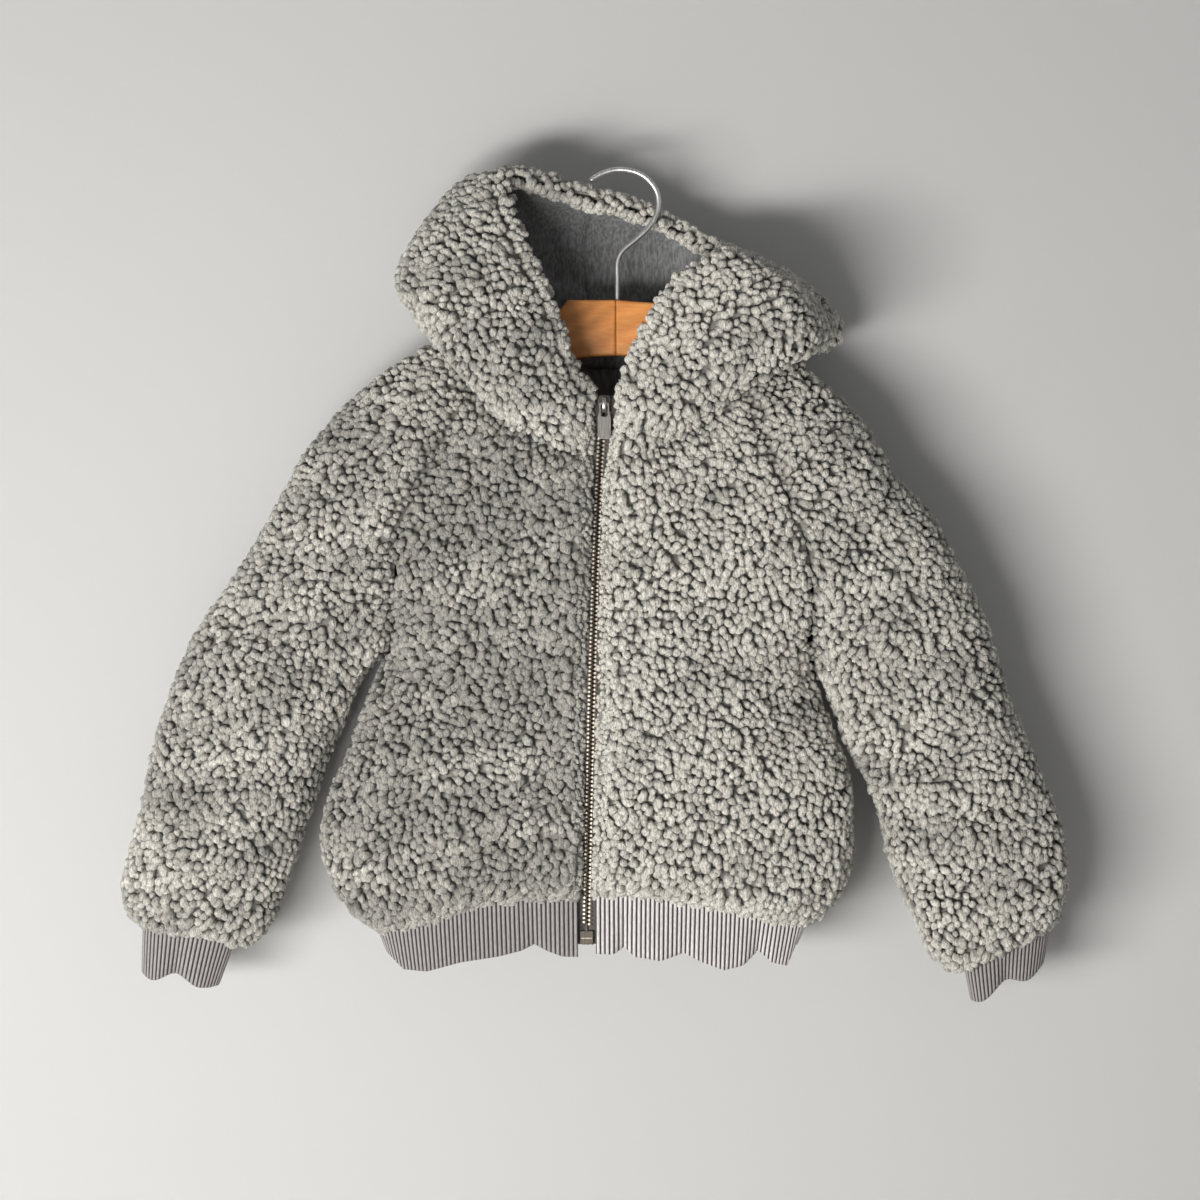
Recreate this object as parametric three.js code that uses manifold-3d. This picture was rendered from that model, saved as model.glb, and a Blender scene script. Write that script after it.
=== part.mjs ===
// A small child's hooded jacket of curly pile fleece, zipped up, on a flat wooden hanger.
// Millimetres. +X is the wearer's left, +Y goes away from the viewer, +Z is up.
// The origin is the inner top of the hanger's hook, where it bears on whatever holds it.
// "right" and "left" are the wearer's, so the right side has negative x.
import * as THREE from 'three';
import Module from 'manifold-3d';

const wasm = await Module();
wasm.setup();

// Thicknesses and gaps
const fleece = 6.5;          // backing and curled pile together
const jersey = 1.2;
const ribKnit = 2.0;         // rib knit between its ribs
const ribRelief = 0.9;       // how far a rib stands out
const seamGap = 0.5;         // between two sewn pieces, shared by both
const behind = 0.95;         // gap between the fleece and the lining behind it
const turnedEdge = 9;        // fleece turned in at the rim before the lining starts
const besideTape = 10;       // lining ends this far from the hood's zip edge, clear of the zip tape

// How finely each piece is divided
const sideSteps = 9;         // hem to underarm
const raglanSteps = 9;       // underarm to neck
const frontSteps = 6;        // zip to side
const neckSteps = 4;         // sleeve top along the neck
const hoodSteps = 10;        // neck seam to rim
const backHalf = 5;          // middle of the back to its side
const liningRows = 5;        // rows of the back that are lined, counted from the neck
const ribsPerHemHalf = 50;
const ribsPerCuff = 34;
const zipLevelSteps = 30;
const wireSteps = 44;

// Body below the arms, from the hem seam up to the underarm.
// right, left: x of the side seams. front, back: how far the middle stands out from the side seams.
const bodySections = [
  { at: 0.00, right: -166, left: 133, zRight: -520, zLeft: -516, zMiddle: -497, front: 34, back: 28 },
  { at: 0.08, right: -178, left: 145, zRight: -512, zLeft: -508, zMiddle: -489, front: 46, back: 34 },
  { at: 0.20, right: -190, left: 156, zRight: -494, zLeft: -491, zMiddle: -474, front: 55, back: 38 },
  { at: 0.40, right: -200, left: 163, zRight: -458, zLeft: -458, zMiddle: -448, front: 59, back: 41 },
  { at: 0.60, right: -196, left: 160, zRight: -424, zLeft: -425, zMiddle: -420, front: 58, back: 41 },
  { at: 0.80, right: -179, left: 147, zRight: -378, zLeft: -386, zMiddle: -391, front: 54, back: 39 },
  { at: 1.00, right: -160, left: 137, zRight: -333, zLeft: -347, zMiddle: -362, front: 50, back: 37 },
];

const backMiddleX = [-20, -8];   // x of the middle of the back at the hem and at the neck
const bodyBulge = 0.7;           // power of the cosine in a row's depth: less is flatter and fuller
const sleeveBulge = 0.8;         // the same with the sine round a sleeve

// Middle of the front and of the back above the underarm.
const middleLine = [
  { at: 0.0, zFront: -362, front: 50, zBack: -362, back: 37 },
  { at: 0.5, zFront: -280, front: 48, zBack: -249, back: 36 },
  { at: 1.0, zFront: -197, front: 44, zBack: -136, back: 32 },
];

// Raglan seams, from the underarm up to the neck.
const raglanSeams = {
  frontRight: [
    { at: 0.00, x: -160, y: 0, z: -333 },
    { at: 0.12, x: -152, y: -16, z: -316 },
    { at: 0.25, x: -151, y: -28, z: -294 },
    { at: 0.40, x: -151, y: -35, z: -268 },
    { at: 0.55, x: -147, y: -39, z: -242 },
    { at: 0.70, x: -135, y: -40, z: -218 },
    { at: 0.85, x: -118, y: -36, z: -184 },
    { at: 1.00, x: -98, y: -28, z: -147 },
  ],
  frontLeft: [
    { at: 0.00, x: 137, y: 0, z: -347 },
    { at: 0.12, x: 132, y: -16, z: -328 },
    { at: 0.25, x: 133, y: -28, z: -303 },
    { at: 0.40, x: 132, y: -35, z: -274 },
    { at: 0.55, x: 125, y: -39, z: -246 },
    { at: 0.70, x: 114, y: -40, z: -218 },
    { at: 0.85, x: 98, y: -36, z: -182 },
    { at: 1.00, x: 82, y: -28, z: -149 },
  ],
  backRight: [
    { at: 0.00, x: -160, y: 0, z: -333 },
    { at: 0.12, x: -150, y: 14, z: -314 },
    { at: 0.25, x: -146, y: 24, z: -290 },
    { at: 0.40, x: -140, y: 30, z: -262 },
    { at: 0.55, x: -130, y: 32, z: -232 },
    { at: 0.70, x: -115, y: 31, z: -196 },
    { at: 0.85, x: -98, y: 27, z: -158 },
    { at: 1.00, x: -78, y: 22, z: -118 },
  ],
  backLeft: [
    { at: 0.00, x: 137, y: 0, z: -347 },
    { at: 0.12, x: 131, y: 14, z: -326 },
    { at: 0.25, x: 127, y: 24, z: -300 },
    { at: 0.40, x: 121, y: 30, z: -270 },
    { at: 0.55, x: 112, y: 32, z: -238 },
    { at: 0.70, x: 98, y: 31, z: -200 },
    { at: 0.85, x: 82, y: 27, z: -160 },
    { at: 1.00, x: 64, y: 22, z: -120 },
  ],
};

// Highest point of each sleeve top where it meets the neck.
const shoulderNeck = { right: [-97, -2, -110], left: [84, -2, -113] };

// Sleeves, from the cuff seam up to the raglan seam. outer is the upper edge of a section and
// inner the lower one, next to the body; toSeam says how far the section has turned into the seam.
const sleeveSections = {
  right: [
    { at: 0.00, outerX: -324, outerZ: -514, innerX: -264, innerZ: -531, front: 17, back: 15, toSeam: 0 },
    { at: 0.05, outerX: -334, outerZ: -507, innerX: -252, innerZ: -529, front: 27, back: 23, toSeam: 0 },
    { at: 0.12, outerX: -338, outerZ: -492, innerX: -239, innerZ: -512, front: 33, back: 29, toSeam: 0 },
    { at: 0.22, outerX: -336, outerZ: -470, innerX: -228, innerZ: -484, front: 36, back: 32, toSeam: 0 },
    { at: 0.36, outerX: -325, outerZ: -430, innerX: -214, innerZ: -446, front: 38, back: 34, toSeam: 0 },
    { at: 0.50, outerX: -309, outerZ: -372, innerX: -200, innerZ: -409, front: 39, back: 35, toSeam: 0 },
    { at: 0.62, outerX: -291, outerZ: -322, innerX: -187, innerZ: -378, front: 39, back: 34, toSeam: 0 },
    { at: 0.72, outerX: -266, outerZ: -281, innerX: -179, innerZ: -354, front: 39, back: 33, toSeam: 0 },
    { at: 0.80, outerX: -238, outerZ: -234, innerX: -173, innerZ: -342, front: 39, back: 32, toSeam: 0.04 },
    { at: 0.87, outerX: -207, outerZ: -187, innerX: -168, innerZ: -337, front: 39, back: 30, toSeam: 0.2 },
    {
      at: 0.92, outerX: -175, outerZ: -150, innerX: -164.5, innerZ: -334.5, front: 38, back: 28, toSeam: 0.45,
    },
    { at: 0.96, outerX: -138, outerZ: -125, innerX: -162, innerZ: -333.5, front: 36, back: 26, toSeam: 0.72 },
    { at: 1.00, outerX: -97, outerZ: -110, innerX: -160, innerZ: -333, front: 34, back: 25, toSeam: 1 },
  ],
  left: [
    { at: 0.00, outerX: 301, outerZ: -519, innerX: 240, innerZ: -545, front: 17, back: 15, toSeam: 0 },
    { at: 0.05, outerX: 306, outerZ: -510, innerX: 227, innerZ: -545, front: 27, back: 23, toSeam: 0 },
    { at: 0.12, outerX: 309, outerZ: -494, innerX: 214, innerZ: -531, front: 33, back: 29, toSeam: 0 },
    { at: 0.22, outerX: 306, outerZ: -472, innerX: 204, innerZ: -506, front: 36, back: 32, toSeam: 0 },
    { at: 0.36, outerX: 295, outerZ: -434, innerX: 191, innerZ: -474, front: 38, back: 34, toSeam: 0 },
    { at: 0.50, outerX: 279, outerZ: -385, innerX: 179, innerZ: -443, front: 39, back: 35, toSeam: 0 },
    { at: 0.62, outerX: 262, outerZ: -335, innerX: 168, innerZ: -412, front: 39, back: 34, toSeam: 0 },
    { at: 0.72, outerX: 240, outerZ: -287, innerX: 156, innerZ: -384, front: 39, back: 33, toSeam: 0 },
    { at: 0.80, outerX: 212, outerZ: -235, innerX: 148, innerZ: -364, front: 39, back: 32, toSeam: 0.04 },
    { at: 0.87, outerX: 182, outerZ: -191, innerX: 143, innerZ: -354, front: 39, back: 30, toSeam: 0.2 },
    { at: 0.92, outerX: 154, outerZ: -159, innerX: 140, innerZ: -350, front: 38, back: 28, toSeam: 0.45 },
    { at: 0.96, outerX: 121, outerZ: -131, innerX: 138.5, innerZ: -348, front: 36, back: 26, toSeam: 0.72 },
    { at: 1.00, outerX: 84, outerZ: -113, innerX: 137, innerZ: -347, front: 34, back: 25, toSeam: 1 },
  ],
};
const sleeveRows = [0, 0.05, 0.12, 0.22, 0.36, 0.5, 0.61, 0.7, 0.78, 0.84, 0.89, 0.93, 0.965, 1];

// Hood, one row for each fold line from the neck seam to the rim: low, belly and high lie between.
// at counts along the neck seam from the zip (0) round the back (15) to the zip again (30).
const hoodLines = [
  { at: 0, low: [-16, -47, -186], belly: [-15.5, -49, -176], high: [-15, -50, -165], rim: [-15, -49, -154] },
  { at: 2, low: [-52, -53, -172], belly: [-48, -58, -156], high: [-40, -56, -143], rim: [-29, -47, -136] },
  { at: 4, low: [-88, -54, -150], belly: [-85, -63, -126], high: [-67, -59, -107], rim: [-43, -46, -97] },
  { at: 6, low: [-117, -46, -124], belly: [-117, -59, -96], high: [-91, -56, -74], rim: [-60, -43, -61] },
  { at: 8, low: [-137, -20, -99], belly: [-144, -30, -70], high: [-112, -37, -42], rim: [-73, -32, -31] },
  { at: 10, low: [-124, 20, -100], belly: [-149, 6, -70], high: [-123, -6, -28], rim: [-80, -19, -4] },
  { at: 12, low: [-96, 38, -106], belly: [-124, 33, -62], high: [-102, 14, -8], rim: [-68, -11, 3] },
  { at: 14, low: [-42, 45, -108], belly: [-56, 46, -62], high: [-45, 24, -18], rim: [-26, -6, -9] },
  { at: 16, low: [8, 46, -108], belly: [8, 48, -64], high: [7, 34, -26], rim: [4, 4, -15] },
  { at: 18, low: [50, 46, -112], belly: [60, 49, -74], high: [48, 40, -40], rim: [34, 13, -27] },
  { at: 20, low: [96, 42, -122], belly: [116, 47, -92], high: [98, 36, -62], rim: [58, 11, -40] },
  { at: 22, low: [128, 34, -127], belly: [155, 22, -106], high: [124, 10, -72], rim: [78, -4, -51] },
  { at: 23, low: [119, 5, -120], belly: [146, -10, -112], high: [120, -24, -77], rim: [80, -27, -54] },
  { at: 24, low: [102, -42, -141], belly: [130, -44, -120], high: [112, -57, -84], rim: [73, -48, -58] },
  { at: 26, low: [80, -48, -150], belly: [92, -61, -128], high: [80, -65, -100], rim: [42, -53, -78] },
  { at: 28, low: [46, -55, -168], belly: [50, -63, -147], high: [40, -61, -129], rim: [17, -51, -116] },
  { at: 30, low: [-3.5, -47, -186], belly: [-2, -49, -176], high: [-1.5, -50, -165], rim: [-1, -49, -155] },
];
const hoodKnots = [0, 0.27, 0.55, 0.8, 1];

// Zip
const zipTop = -155;
const zipBottom = -528;
const zipLean = 15.1;        // how far the zip leans to the wearer's right from top to bottom
const zipTopX = -8;
const chainWidth = 6.2;
const chainThick = 2.2;
const tapeWidth = 14;        // from the middle of the chain to the tape's edge
const tapeThick = 0.9;
const openHalf = 5.4;        // half the gap between the two fleece edges
const openHalfTop = 7;       // the same beside the slider
const openingWidens = [-222, 28];  // where the gap starts to widen, and over what height
const ribOpenHalf = 6.2;     // the same between the ends of the hem band
const zipStart = 10;         // the lean goes as a root of the way down, counted from this far above
const hemZipDepth = -27;     // y of the zip at its foot
const tapeBehind = 1.4;      // between the turned-in fleece and the tape
const besideChain = 0.3;     // between the chain and each tape
const chainProud = 0.8;      // how far the teeth stand in front of the tape
const zipBox = { width: 10.5, height: 10, thick: 2.4, clear: 0.6 };
const slider = { width: 9, height: 12, thick: 1.6, top: zipTop - 0.5, clear: 0.3 };
const bridge = { width: 1.8, height: 9, reach: 3.8, bar: 1.0, root: 0.5, corner: 1.4, round: 0.4 };
const pull = {
  width: 9, neck: 6.6, neckLength: 6.5, flare: 9.5, length: 24, thick: 1.2, bar: 0.7, slotHalf: 1.7,
  slotLength: 5.6, corner: 1.5, infront: 1.4, rise: 0.4,
};

// Lower edge of the hem band: hangs lower at the sides, with a wave in it.
const hemBottom = {
  middle: -534, side: -545, halfWidth: 150, wave: 4, waveLength: 88, waveX: -18, draw: 3, narrow: 0.985,
};

// Cuffs: a little narrower at the end, with two lobes where the band folds.
const cuffs = { right: { length: 30, shift: -6, lobe: 7 }, left: { length: 24, shift: 0, lobe: 7 } };
const cuffNarrow = 0.84;
const cuffFlat = 0.75;       // depth of a cuff between its lobes, as a share of its depth at them
const cuffFold = { place: -0.1, turns: 1.6 };

// Hanger: two halves of flat wood that carry the shoulders from inside, and a wire hook
const wood = {
  thick: 12, middleTop: -88, middleBottom: -126, joint: -0.7, glueLine: 0.15, armDepth: 36, under: 2.6,
  fromNeck: 90,
};
const woodEnd = { right: -160, left: 143 };
const corner = { right: [-34, -88, -42, -98], left: [33, -90.5, 41, -98.5] };
const underNeck = { right: [-88, -123], left: [76, -123] };
const wire = 1.8;            // radius of the hook's wire
const hookLine = [
  [0.4, -87.7], [0.4, -74], [0.6, -61], [4.5, -53.5], [14, -45.5], [23, -36.5], [28.4, -25],
  [27.4, -13.5], [20.5, -4.2], [11, 0.7], [0, wire], [-9, -0.4], [-15.5, -3.8], [-19, -6.6],
];

// Colours
const finishes = {
  fleece: { color: 0xc6c5be, roughness: 1.0, metalness: 0 },
  jersey: { color: 0x6e7070, roughness: 0.95, metalness: 0 },
  rib: { color: 0xb5adad, roughness: 0.95, metalness: 0 },
  tape: { color: 0x77736f, roughness: 0.9, metalness: 0 },
  bronze: { color: 0x4b433b, roughness: 0.45, metalness: 0.9 },
  nickel: { color: 0xa9a8a4, roughness: 0.35, metalness: 0.95 },
  wood: { color: 0xc08046, roughness: 0.45, metalness: 0 },
  steel: { color: 0xc4c6c8, roughness: 0.25, metalness: 1 },
};

const vec = (x, y, z) => new THREE.Vector3(x, y, z);
const mix = (a, b, t) => a + (b - a) * t;
const clamp01 = (t) => Math.min(1, Math.max(0, t));
const ease = (t) => clamp01(t) ** 2 * (3 - 2 * clamp01(t));

// Smooth curve through the knots: a cubic between two of them, with slopes taken from their neighbours.
function smooth(knots, values, t) {
  const last = knots.length - 1;
  const place = Math.min(knots[last], Math.max(knots[0], t));
  let k = 0;
  while (k < last - 1 && place > knots[k + 1]) k += 1;
  const slope = (i) => {
    const from = Math.max(0, i - 1);
    const to = Math.min(last, i + 1);
    return (values[to] - values[from]) / (knots[to] - knots[from]);
  };
  const span = knots[k + 1] - knots[k];
  const s = (place - knots[k]) / span;
  const rise = values[k + 1] - values[k];
  const bendA = slope(k) * span - rise;
  const bendB = rise - slope(k + 1) * span;
  return values[k] + s * rise + s * (1 - s) * (bendA * (1 - s) + bendB * s);
}

const column = (table, name, t) => smooth(table.map((r) => r.at), table.map((r) => r[name]), t);
const pointAt = (table, t) => vec(column(table, 'x', t), column(table, 'y', t), column(table, 'z', t));

// x of the middle of the zip at a height.
function zipX(z) {
  const fall = Math.max(0, zipTop - z);
  const whole = zipTop - zipBottom + zipStart;
  const bow = Math.sqrt((fall + zipStart) / whole) - Math.sqrt(zipStart / whole);
  return zipTopX - zipLean * bow;
}

const halfOpening = (z) => mix(openHalf, openHalfTop, ease((z - openingWidens[0]) / openingWidens[1]));

// One row of a front or back piece: from the middle out to the edge along part of a rounded arc.
// turn is the angle of the arc, a quarter turn where the piece ends at the side of the body.
function arcPoint(middle, edge, turn, u, rise) {
  const across = Math.sin(u * turn) / Math.sin(turn);
  const flat = Math.max(0, Math.cos(turn)) ** bodyBulge;
  const out = (Math.max(0, Math.cos(u * turn)) ** bodyBulge - flat) / (1 - flat);
  return vec(mix(middle.x, edge.x, across), mix(edge.y, middle.y, out), mix(middle.z, edge.z, rise(u)));
}

// Middle, edge, arc and rise of row k of one side of the front or of the back.
function bodyRow(side, face, k) {
  const sign = face === 'front' ? -1 : 1;
  const sideName = side === 'right' ? 'Right' : 'Left';
  if (k <= sideSteps) {
    const t = k / sideSteps;
    const z = column(bodySections, 'zMiddle', t);
    const rise = (u) => mix(ease((u - 0.12) / 0.7), u ** 1.6, t);
    return {
      middle: vec(0, sign * column(bodySections, face, t), z),
      edge: vec(column(bodySections, side, t), 0, column(bodySections, `z${sideName}`, t)),
      turn: Math.PI / 2,
      rise,
    };
  }
  const t = (k - sideSteps) / raglanSteps;
  const z = column(middleLine, face === 'front' ? 'zFront' : 'zBack', t);
  return {
    middle: vec(0, sign * column(middleLine, face, t), z),
    edge: pointAt(raglanSeams[face + sideName], t),
    turn: mix(mix(Math.PI / 2, 1.1, ease(t * 3)), 0.9, t),
    rise: (u) => u ** mix(1.6, 1.8, t),
  };
}

const bodyRows = sideSteps + raglanSteps;

function frontGrid(side) {
  const out = side === 'right' ? -1 : 1;
  const rows = [];
  for (let k = 0; k <= bodyRows; k += 1) {
    const row = bodyRow(side, 'front', k);
    row.middle.x = zipX(row.middle.z) + out * halfOpening(row.middle.z);
    const points = [];
    for (let i = 0; i <= frontSteps; i += 1) {
      points.push(arcPoint(row.middle, row.edge, row.turn, i / frontSteps, row.rise));
    }
    rows.push(points);
  }
  return rows;
}

function backGrid() {
  const rows = [];
  for (let k = 0; k <= bodyRows; k += 1) {
    const points = [];
    for (let j = -backHalf; j <= backHalf; j += 1) {
      const row = bodyRow(j < 0 ? 'right' : 'left', 'back', k);
      row.middle.x = mix(backMiddleX[0], backMiddleX[1], k / bodyRows);
      points.push(arcPoint(row.middle, row.edge, row.turn, Math.abs(j) / backHalf, row.rise));
    }
    rows.push(points);
  }
  return rows;
}

// The closed loop where a sleeve meets the front, the neck and the back, from the underarm round.
function armLoop(side) {
  const name = side === 'right' ? 'Right' : 'Left';
  const front = [];
  const back = [];
  for (let k = 0; k <= raglanSteps; k += 1) {
    front.push(pointAt(raglanSeams[`front${name}`], k / raglanSteps));
    back.push(pointAt(raglanSeams[`back${name}`], k / raglanSteps));
  }
  const from = front[raglanSteps];
  const to = back[raglanSteps];
  const lift = vec(...shoulderNeck[side]).sub(from.clone().lerp(to, 0.5));
  const neck = [];
  for (let j = 1; j < neckSteps; j += 1) {
    const s = j / neckSteps;
    neck.push(from.clone().lerp(to, s).addScaledVector(lift, Math.sin(Math.PI * s)));
  }
  return [...front, ...neck, ...back.reverse().slice(0, raglanSteps)];
}

const ringSteps = 2 * raglanSteps + neckSteps;

// A flat rounded section of a sleeve: point i of the ring, counted from the inner edge over the front.
function ringPoint(section, i) {
  const angle = Math.PI - (2 * Math.PI * i) / ringSteps;
  const depth = i < ringSteps / 2 ? -section.front : section.back;
  return vec(
    mix(section.innerX, section.outerX, (1 + Math.cos(angle)) / 2),
    depth * Math.abs(Math.sin(angle)) ** sleeveBulge,
    mix(section.innerZ, section.outerZ, (1 + Math.cos(angle)) / 2),
  );
}

function sleeveGrid(side) {
  const table = sleeveSections[side];
  const loop = armLoop(side);
  const last = table[table.length - 1];
  return sleeveRows.map((t) => {
    const section = {};
    for (const name of Object.keys(last)) section[name] = column(table, name, t);
    const points = [];
    for (let i = 0; i < ringSteps; i += 1) {
      const turned = loop[i].clone().sub(ringPoint(last, i));
      points.push(ringPoint(section, i).addScaledVector(turned, section.toSeam));
    }
    return points;
  });
}

// The whole neck seam, from the zip round the back to the zip.
function neckSeam(grids) {
  const top = bodyRows;
  const sleeveTop = (rows) => {
    const loop = rows[rows.length - 1];
    return loop.slice(raglanSteps + 1, raglanSteps + neckSteps);
  };
  return [
    ...grids.front_right[top],
    ...sleeveTop(grids.sleeve_right),
    ...grids.back[top],
    ...sleeveTop(grids.sleeve_left).reverse(),
    ...[...grids.front_left[top]].reverse(),
  ];
}

function hoodGrid(neck) {
  const knots = hoodLines.map((line) => line.at);
  const across = (name, axis, u) => smooth(knots, hoodLines.map((line) => line[name][axis]), u);
  const rows = [];
  for (let k = 0; k <= hoodSteps; k += 1) {
    const v = k / hoodSteps;
    rows.push(neck.map((seam, u) => {
      const along = seam.toArray().map((start, axis) => {
        const values = [start, ...['low', 'belly', 'high', 'rim'].map((name) => across(name, axis, u))];
        return smooth(hoodKnots, values, v);
      });
      return vec(...along);
    }));
  }
  return rows;
}

// Outer face of every fleece piece. flipped lists those whose rows and columns turn inwards.
const grids = {
  front_right: frontGrid('right'),
  front_left: frontGrid('left'),
  back: backGrid(),
  sleeve_right: sleeveGrid('right'),
  sleeve_left: sleeveGrid('left'),
};
const neck = neckSeam(grids);
const hood = hoodGrid(neck);
const hoodMiddle = 15;
grids.hood_right = hood.map((row) => row.slice(0, hoodMiddle + 1));
grids.hood_left = hood.map((row) => row.slice(hoodMiddle));
const flipped = new Set(['front_right', 'back', 'sleeve_right', 'hood_right', 'hood_left']);
const closedRound = new Set(['sleeve_right', 'sleeve_left']);

const cornerKey = (p) => p.toArray().map((c) => Math.round(c * 50)).join();

// Normals of the whole garment: pieces that share a seam point share its normal too,
// so that their walls end on the same face.
function sharedNormals() {
  const sums = new Map();
  for (const [name, rows] of Object.entries(grids)) {
    const turn = flipped.has(name) ? -1 : 1;
    const wide = rows[0].length;
    const columns = closedRound.has(name) ? wide : wide - 1;
    for (let k = 0; k < rows.length - 1; k += 1) {
      for (let i = 0; i < columns; i += 1) {
        const corners = [rows[k][i], rows[k][(i + 1) % wide], rows[k + 1][(i + 1) % wide], rows[k + 1][i]];
        const acrossOne = corners[2].clone().sub(corners[0]);
        const normal = acrossOne.cross(corners[3].clone().sub(corners[1])).multiplyScalar(turn);
        for (const corner of corners) {
          const key = cornerKey(corner);
          if (!sums.has(key)) sums.set(key, vec(0, 0, 0));
          sums.get(key).add(normal);
        }
      }
    }
  }
  for (const sum of sums.values()) sum.normalize();
  return sums;
}
const shared = sharedNormals();

// Moves the edges of a piece in by half the seam gap, square to each edge.
function drawIn(rows, closed) {
  const high = rows.length - 1;
  const wide = rows[0].length;
  const at = (k, i) => rows[k][closed ? (i + wide) % wide : Math.min(wide - 1, Math.max(0, i))];
  const pull = (edge, inside, before, after) => {
    const way = inside.clone().sub(edge);
    const beside = after.clone().sub(before).normalize();
    return way.addScaledVector(beside, -way.dot(beside)).setLength(seamGap / 2);
  };
  return rows.map((row, k) => row.map((point, i) => {
    const moved = point.clone();
    if (k === 0) moved.add(pull(point, at(1, i), at(0, i - 1), at(0, i + 1)));
    if (k === high) moved.add(pull(point, at(high - 1, i), at(high, i - 1), at(high, i + 1)));
    const below = rows[Math.max(0, k - 1)][i];
    const above = rows[Math.min(high, k + 1)][i];
    if (!closed && i === 0) moved.add(pull(point, at(k, 1), below, above));
    if (!closed && i === wide - 1) moved.add(pull(point, at(k, wide - 2), below, above));
    return moved;
  }));
}

// A closed wall between two grids of points of the same size.
function wallBetween(outer, inner, { closed = false, flip = false } = {}) {
  const high = outer.length;
  const wide = outer[0].length;
  const positions = [...outer.flat(), ...inner.flat()].flatMap((p) => p.toArray());
  const faces = [];
  const quad = (a, b, c, d) => (flip ? faces.push(a, d, c, a, c, b) : faces.push(a, b, c, a, c, d));
  const out = (k, i) => k * wide + (i % wide);
  const inn = (k, i) => high * wide + out(k, i);
  // An edge face is cut from the lower point's outer corner to the upper point's inner one,
  // so that two sewn pieces cut the face they share the same way. The small slant settles ties.
  const slant = [0.31, 0.17];
  const level = (i) => slant[0] * positions[3 * i] + slant[1] * positions[3 * i + 1] + positions[3 * i + 2];
  const edgeFace = (innA, innB, outB, outA) => {
    if (level(outA) < level(outB)) quad(innB, outB, outA, innA);
    else quad(innA, innB, outB, outA);
  };
  const columns = closed ? wide : wide - 1;
  for (let k = 0; k < high - 1; k += 1) {
    for (let i = 0; i < columns; i += 1) {
      quad(out(k, i), out(k, i + 1), out(k + 1, i + 1), out(k + 1, i));
      quad(inn(k, i), inn(k + 1, i), inn(k + 1, i + 1), inn(k, i + 1));
    }
  }
  for (let i = 0; i < columns; i += 1) {
    edgeFace(inn(0, i), inn(0, i + 1), out(0, i + 1), out(0, i));
    edgeFace(inn(high - 1, i + 1), inn(high - 1, i), out(high - 1, i), out(high - 1, i + 1));
  }
  if (!closed) {
    for (let k = 0; k < high - 1; k += 1) {
      edgeFace(inn(k + 1, 0), inn(k, 0), out(k, 0), out(k + 1, 0));
      edgeFace(inn(k, wide - 1), inn(k + 1, wide - 1), out(k + 1, wide - 1), out(k, wide - 1));
    }
  }
  const geometry = new THREE.BufferGeometry();
  geometry.setAttribute('position', new THREE.Float32BufferAttribute(positions, 3));
  geometry.setIndex(faces);
  return geometry;
}

// Rows moved inward along their normals, by a depth for each row.
const sunk = (rows, normals, depth) => rows.map((row, k) => row.map(
  (point, i) => point.clone().addScaledVector(normals[k][i], -depth(k)),
));

const normalsOf = (rows) => rows.map((row) => row.map((point) => shared.get(cornerKey(point))));

const jacket = new THREE.Group();

function add(name, geometry, finish) {
  geometry.computeVertexNormals();
  const mesh = new THREE.Mesh(geometry, new THREE.MeshStandardMaterial(finishes[finish]));
  mesh.name = name;
  jacket.add(mesh);
  return mesh;
}

// Fleece pieces
const edges = {};
for (const [name, rows] of Object.entries(grids)) {
  const closed = closedRound.has(name);
  const outer = drawIn(rows, closed);
  const inner = sunk(outer, normalsOf(rows), () => fleece);
  edges[name] = { outer, inner };
  add(name, wallBetween(outer, inner, { closed, flip: flipped.has(name) }), 'fleece');
}

// Jersey linings, just inside the fleece. less says how far each edge stays back from the fleece's
// and how much slack the lining has at its lower edge.
function lining(name, rows, less) {
  const normals = normalsOf(rows);
  const high = rows.length - 1;
  const slackRows = 3;
  const slack = (k) => less.slack * Math.max(0, 1 - k / slackRows);
  const outer = sunk(rows, normals, (k) => fleece + behind + slack(k));
  const inner = sunk(rows, normals, (k) => fleece + behind + slack(k) + jersey);
  const wide = rows[0].length - 1;
  const shorten = (edge, next, distance) => {
    const [out, inn] = [outer, inner].map((grid) => [grid[edge[0]][edge[1]], grid[next[0]][next[1]]]);
    const most = 0.85;
    const share = Math.min(most, distance / out[0].distanceTo(out[1]));
    out[0].lerp(out[1], share);
    inn[0].lerp(inn[1], share);
  };
  for (let i = 0; i <= wide; i += 1) {
    shorten([0, i], [1, i], less.low);
    shorten([high, i], [high - 1, i], less.top);
  }
  for (let k = 0; k <= high; k += 1) {
    shorten([k, 0], [k, 1], less.first);
    shorten([k, wide], [k, wide - 1], less.final);
  }
  add(name, wallBetween(outer, inner, { flip: true }), 'jersey');
}

const halfGap = seamGap / 2;
const liningEdges = {
  hood_right: { low: 6, top: turnedEdge, first: besideTape, final: halfGap, slack: 2.8 },
  hood_left: { low: 2, top: turnedEdge, first: halfGap, final: besideTape, slack: 0 },
  back: { low: halfGap, top: 2, first: 2, final: 2, slack: 0 },
};
lining('hood_lining_right', grids.hood_right, liningEdges.hood_right);
lining('hood_lining_left', grids.hood_left, liningEdges.hood_left);
lining('back_lining', grids.back.slice(bodyRows - liningRows), liningEdges.back);

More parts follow.
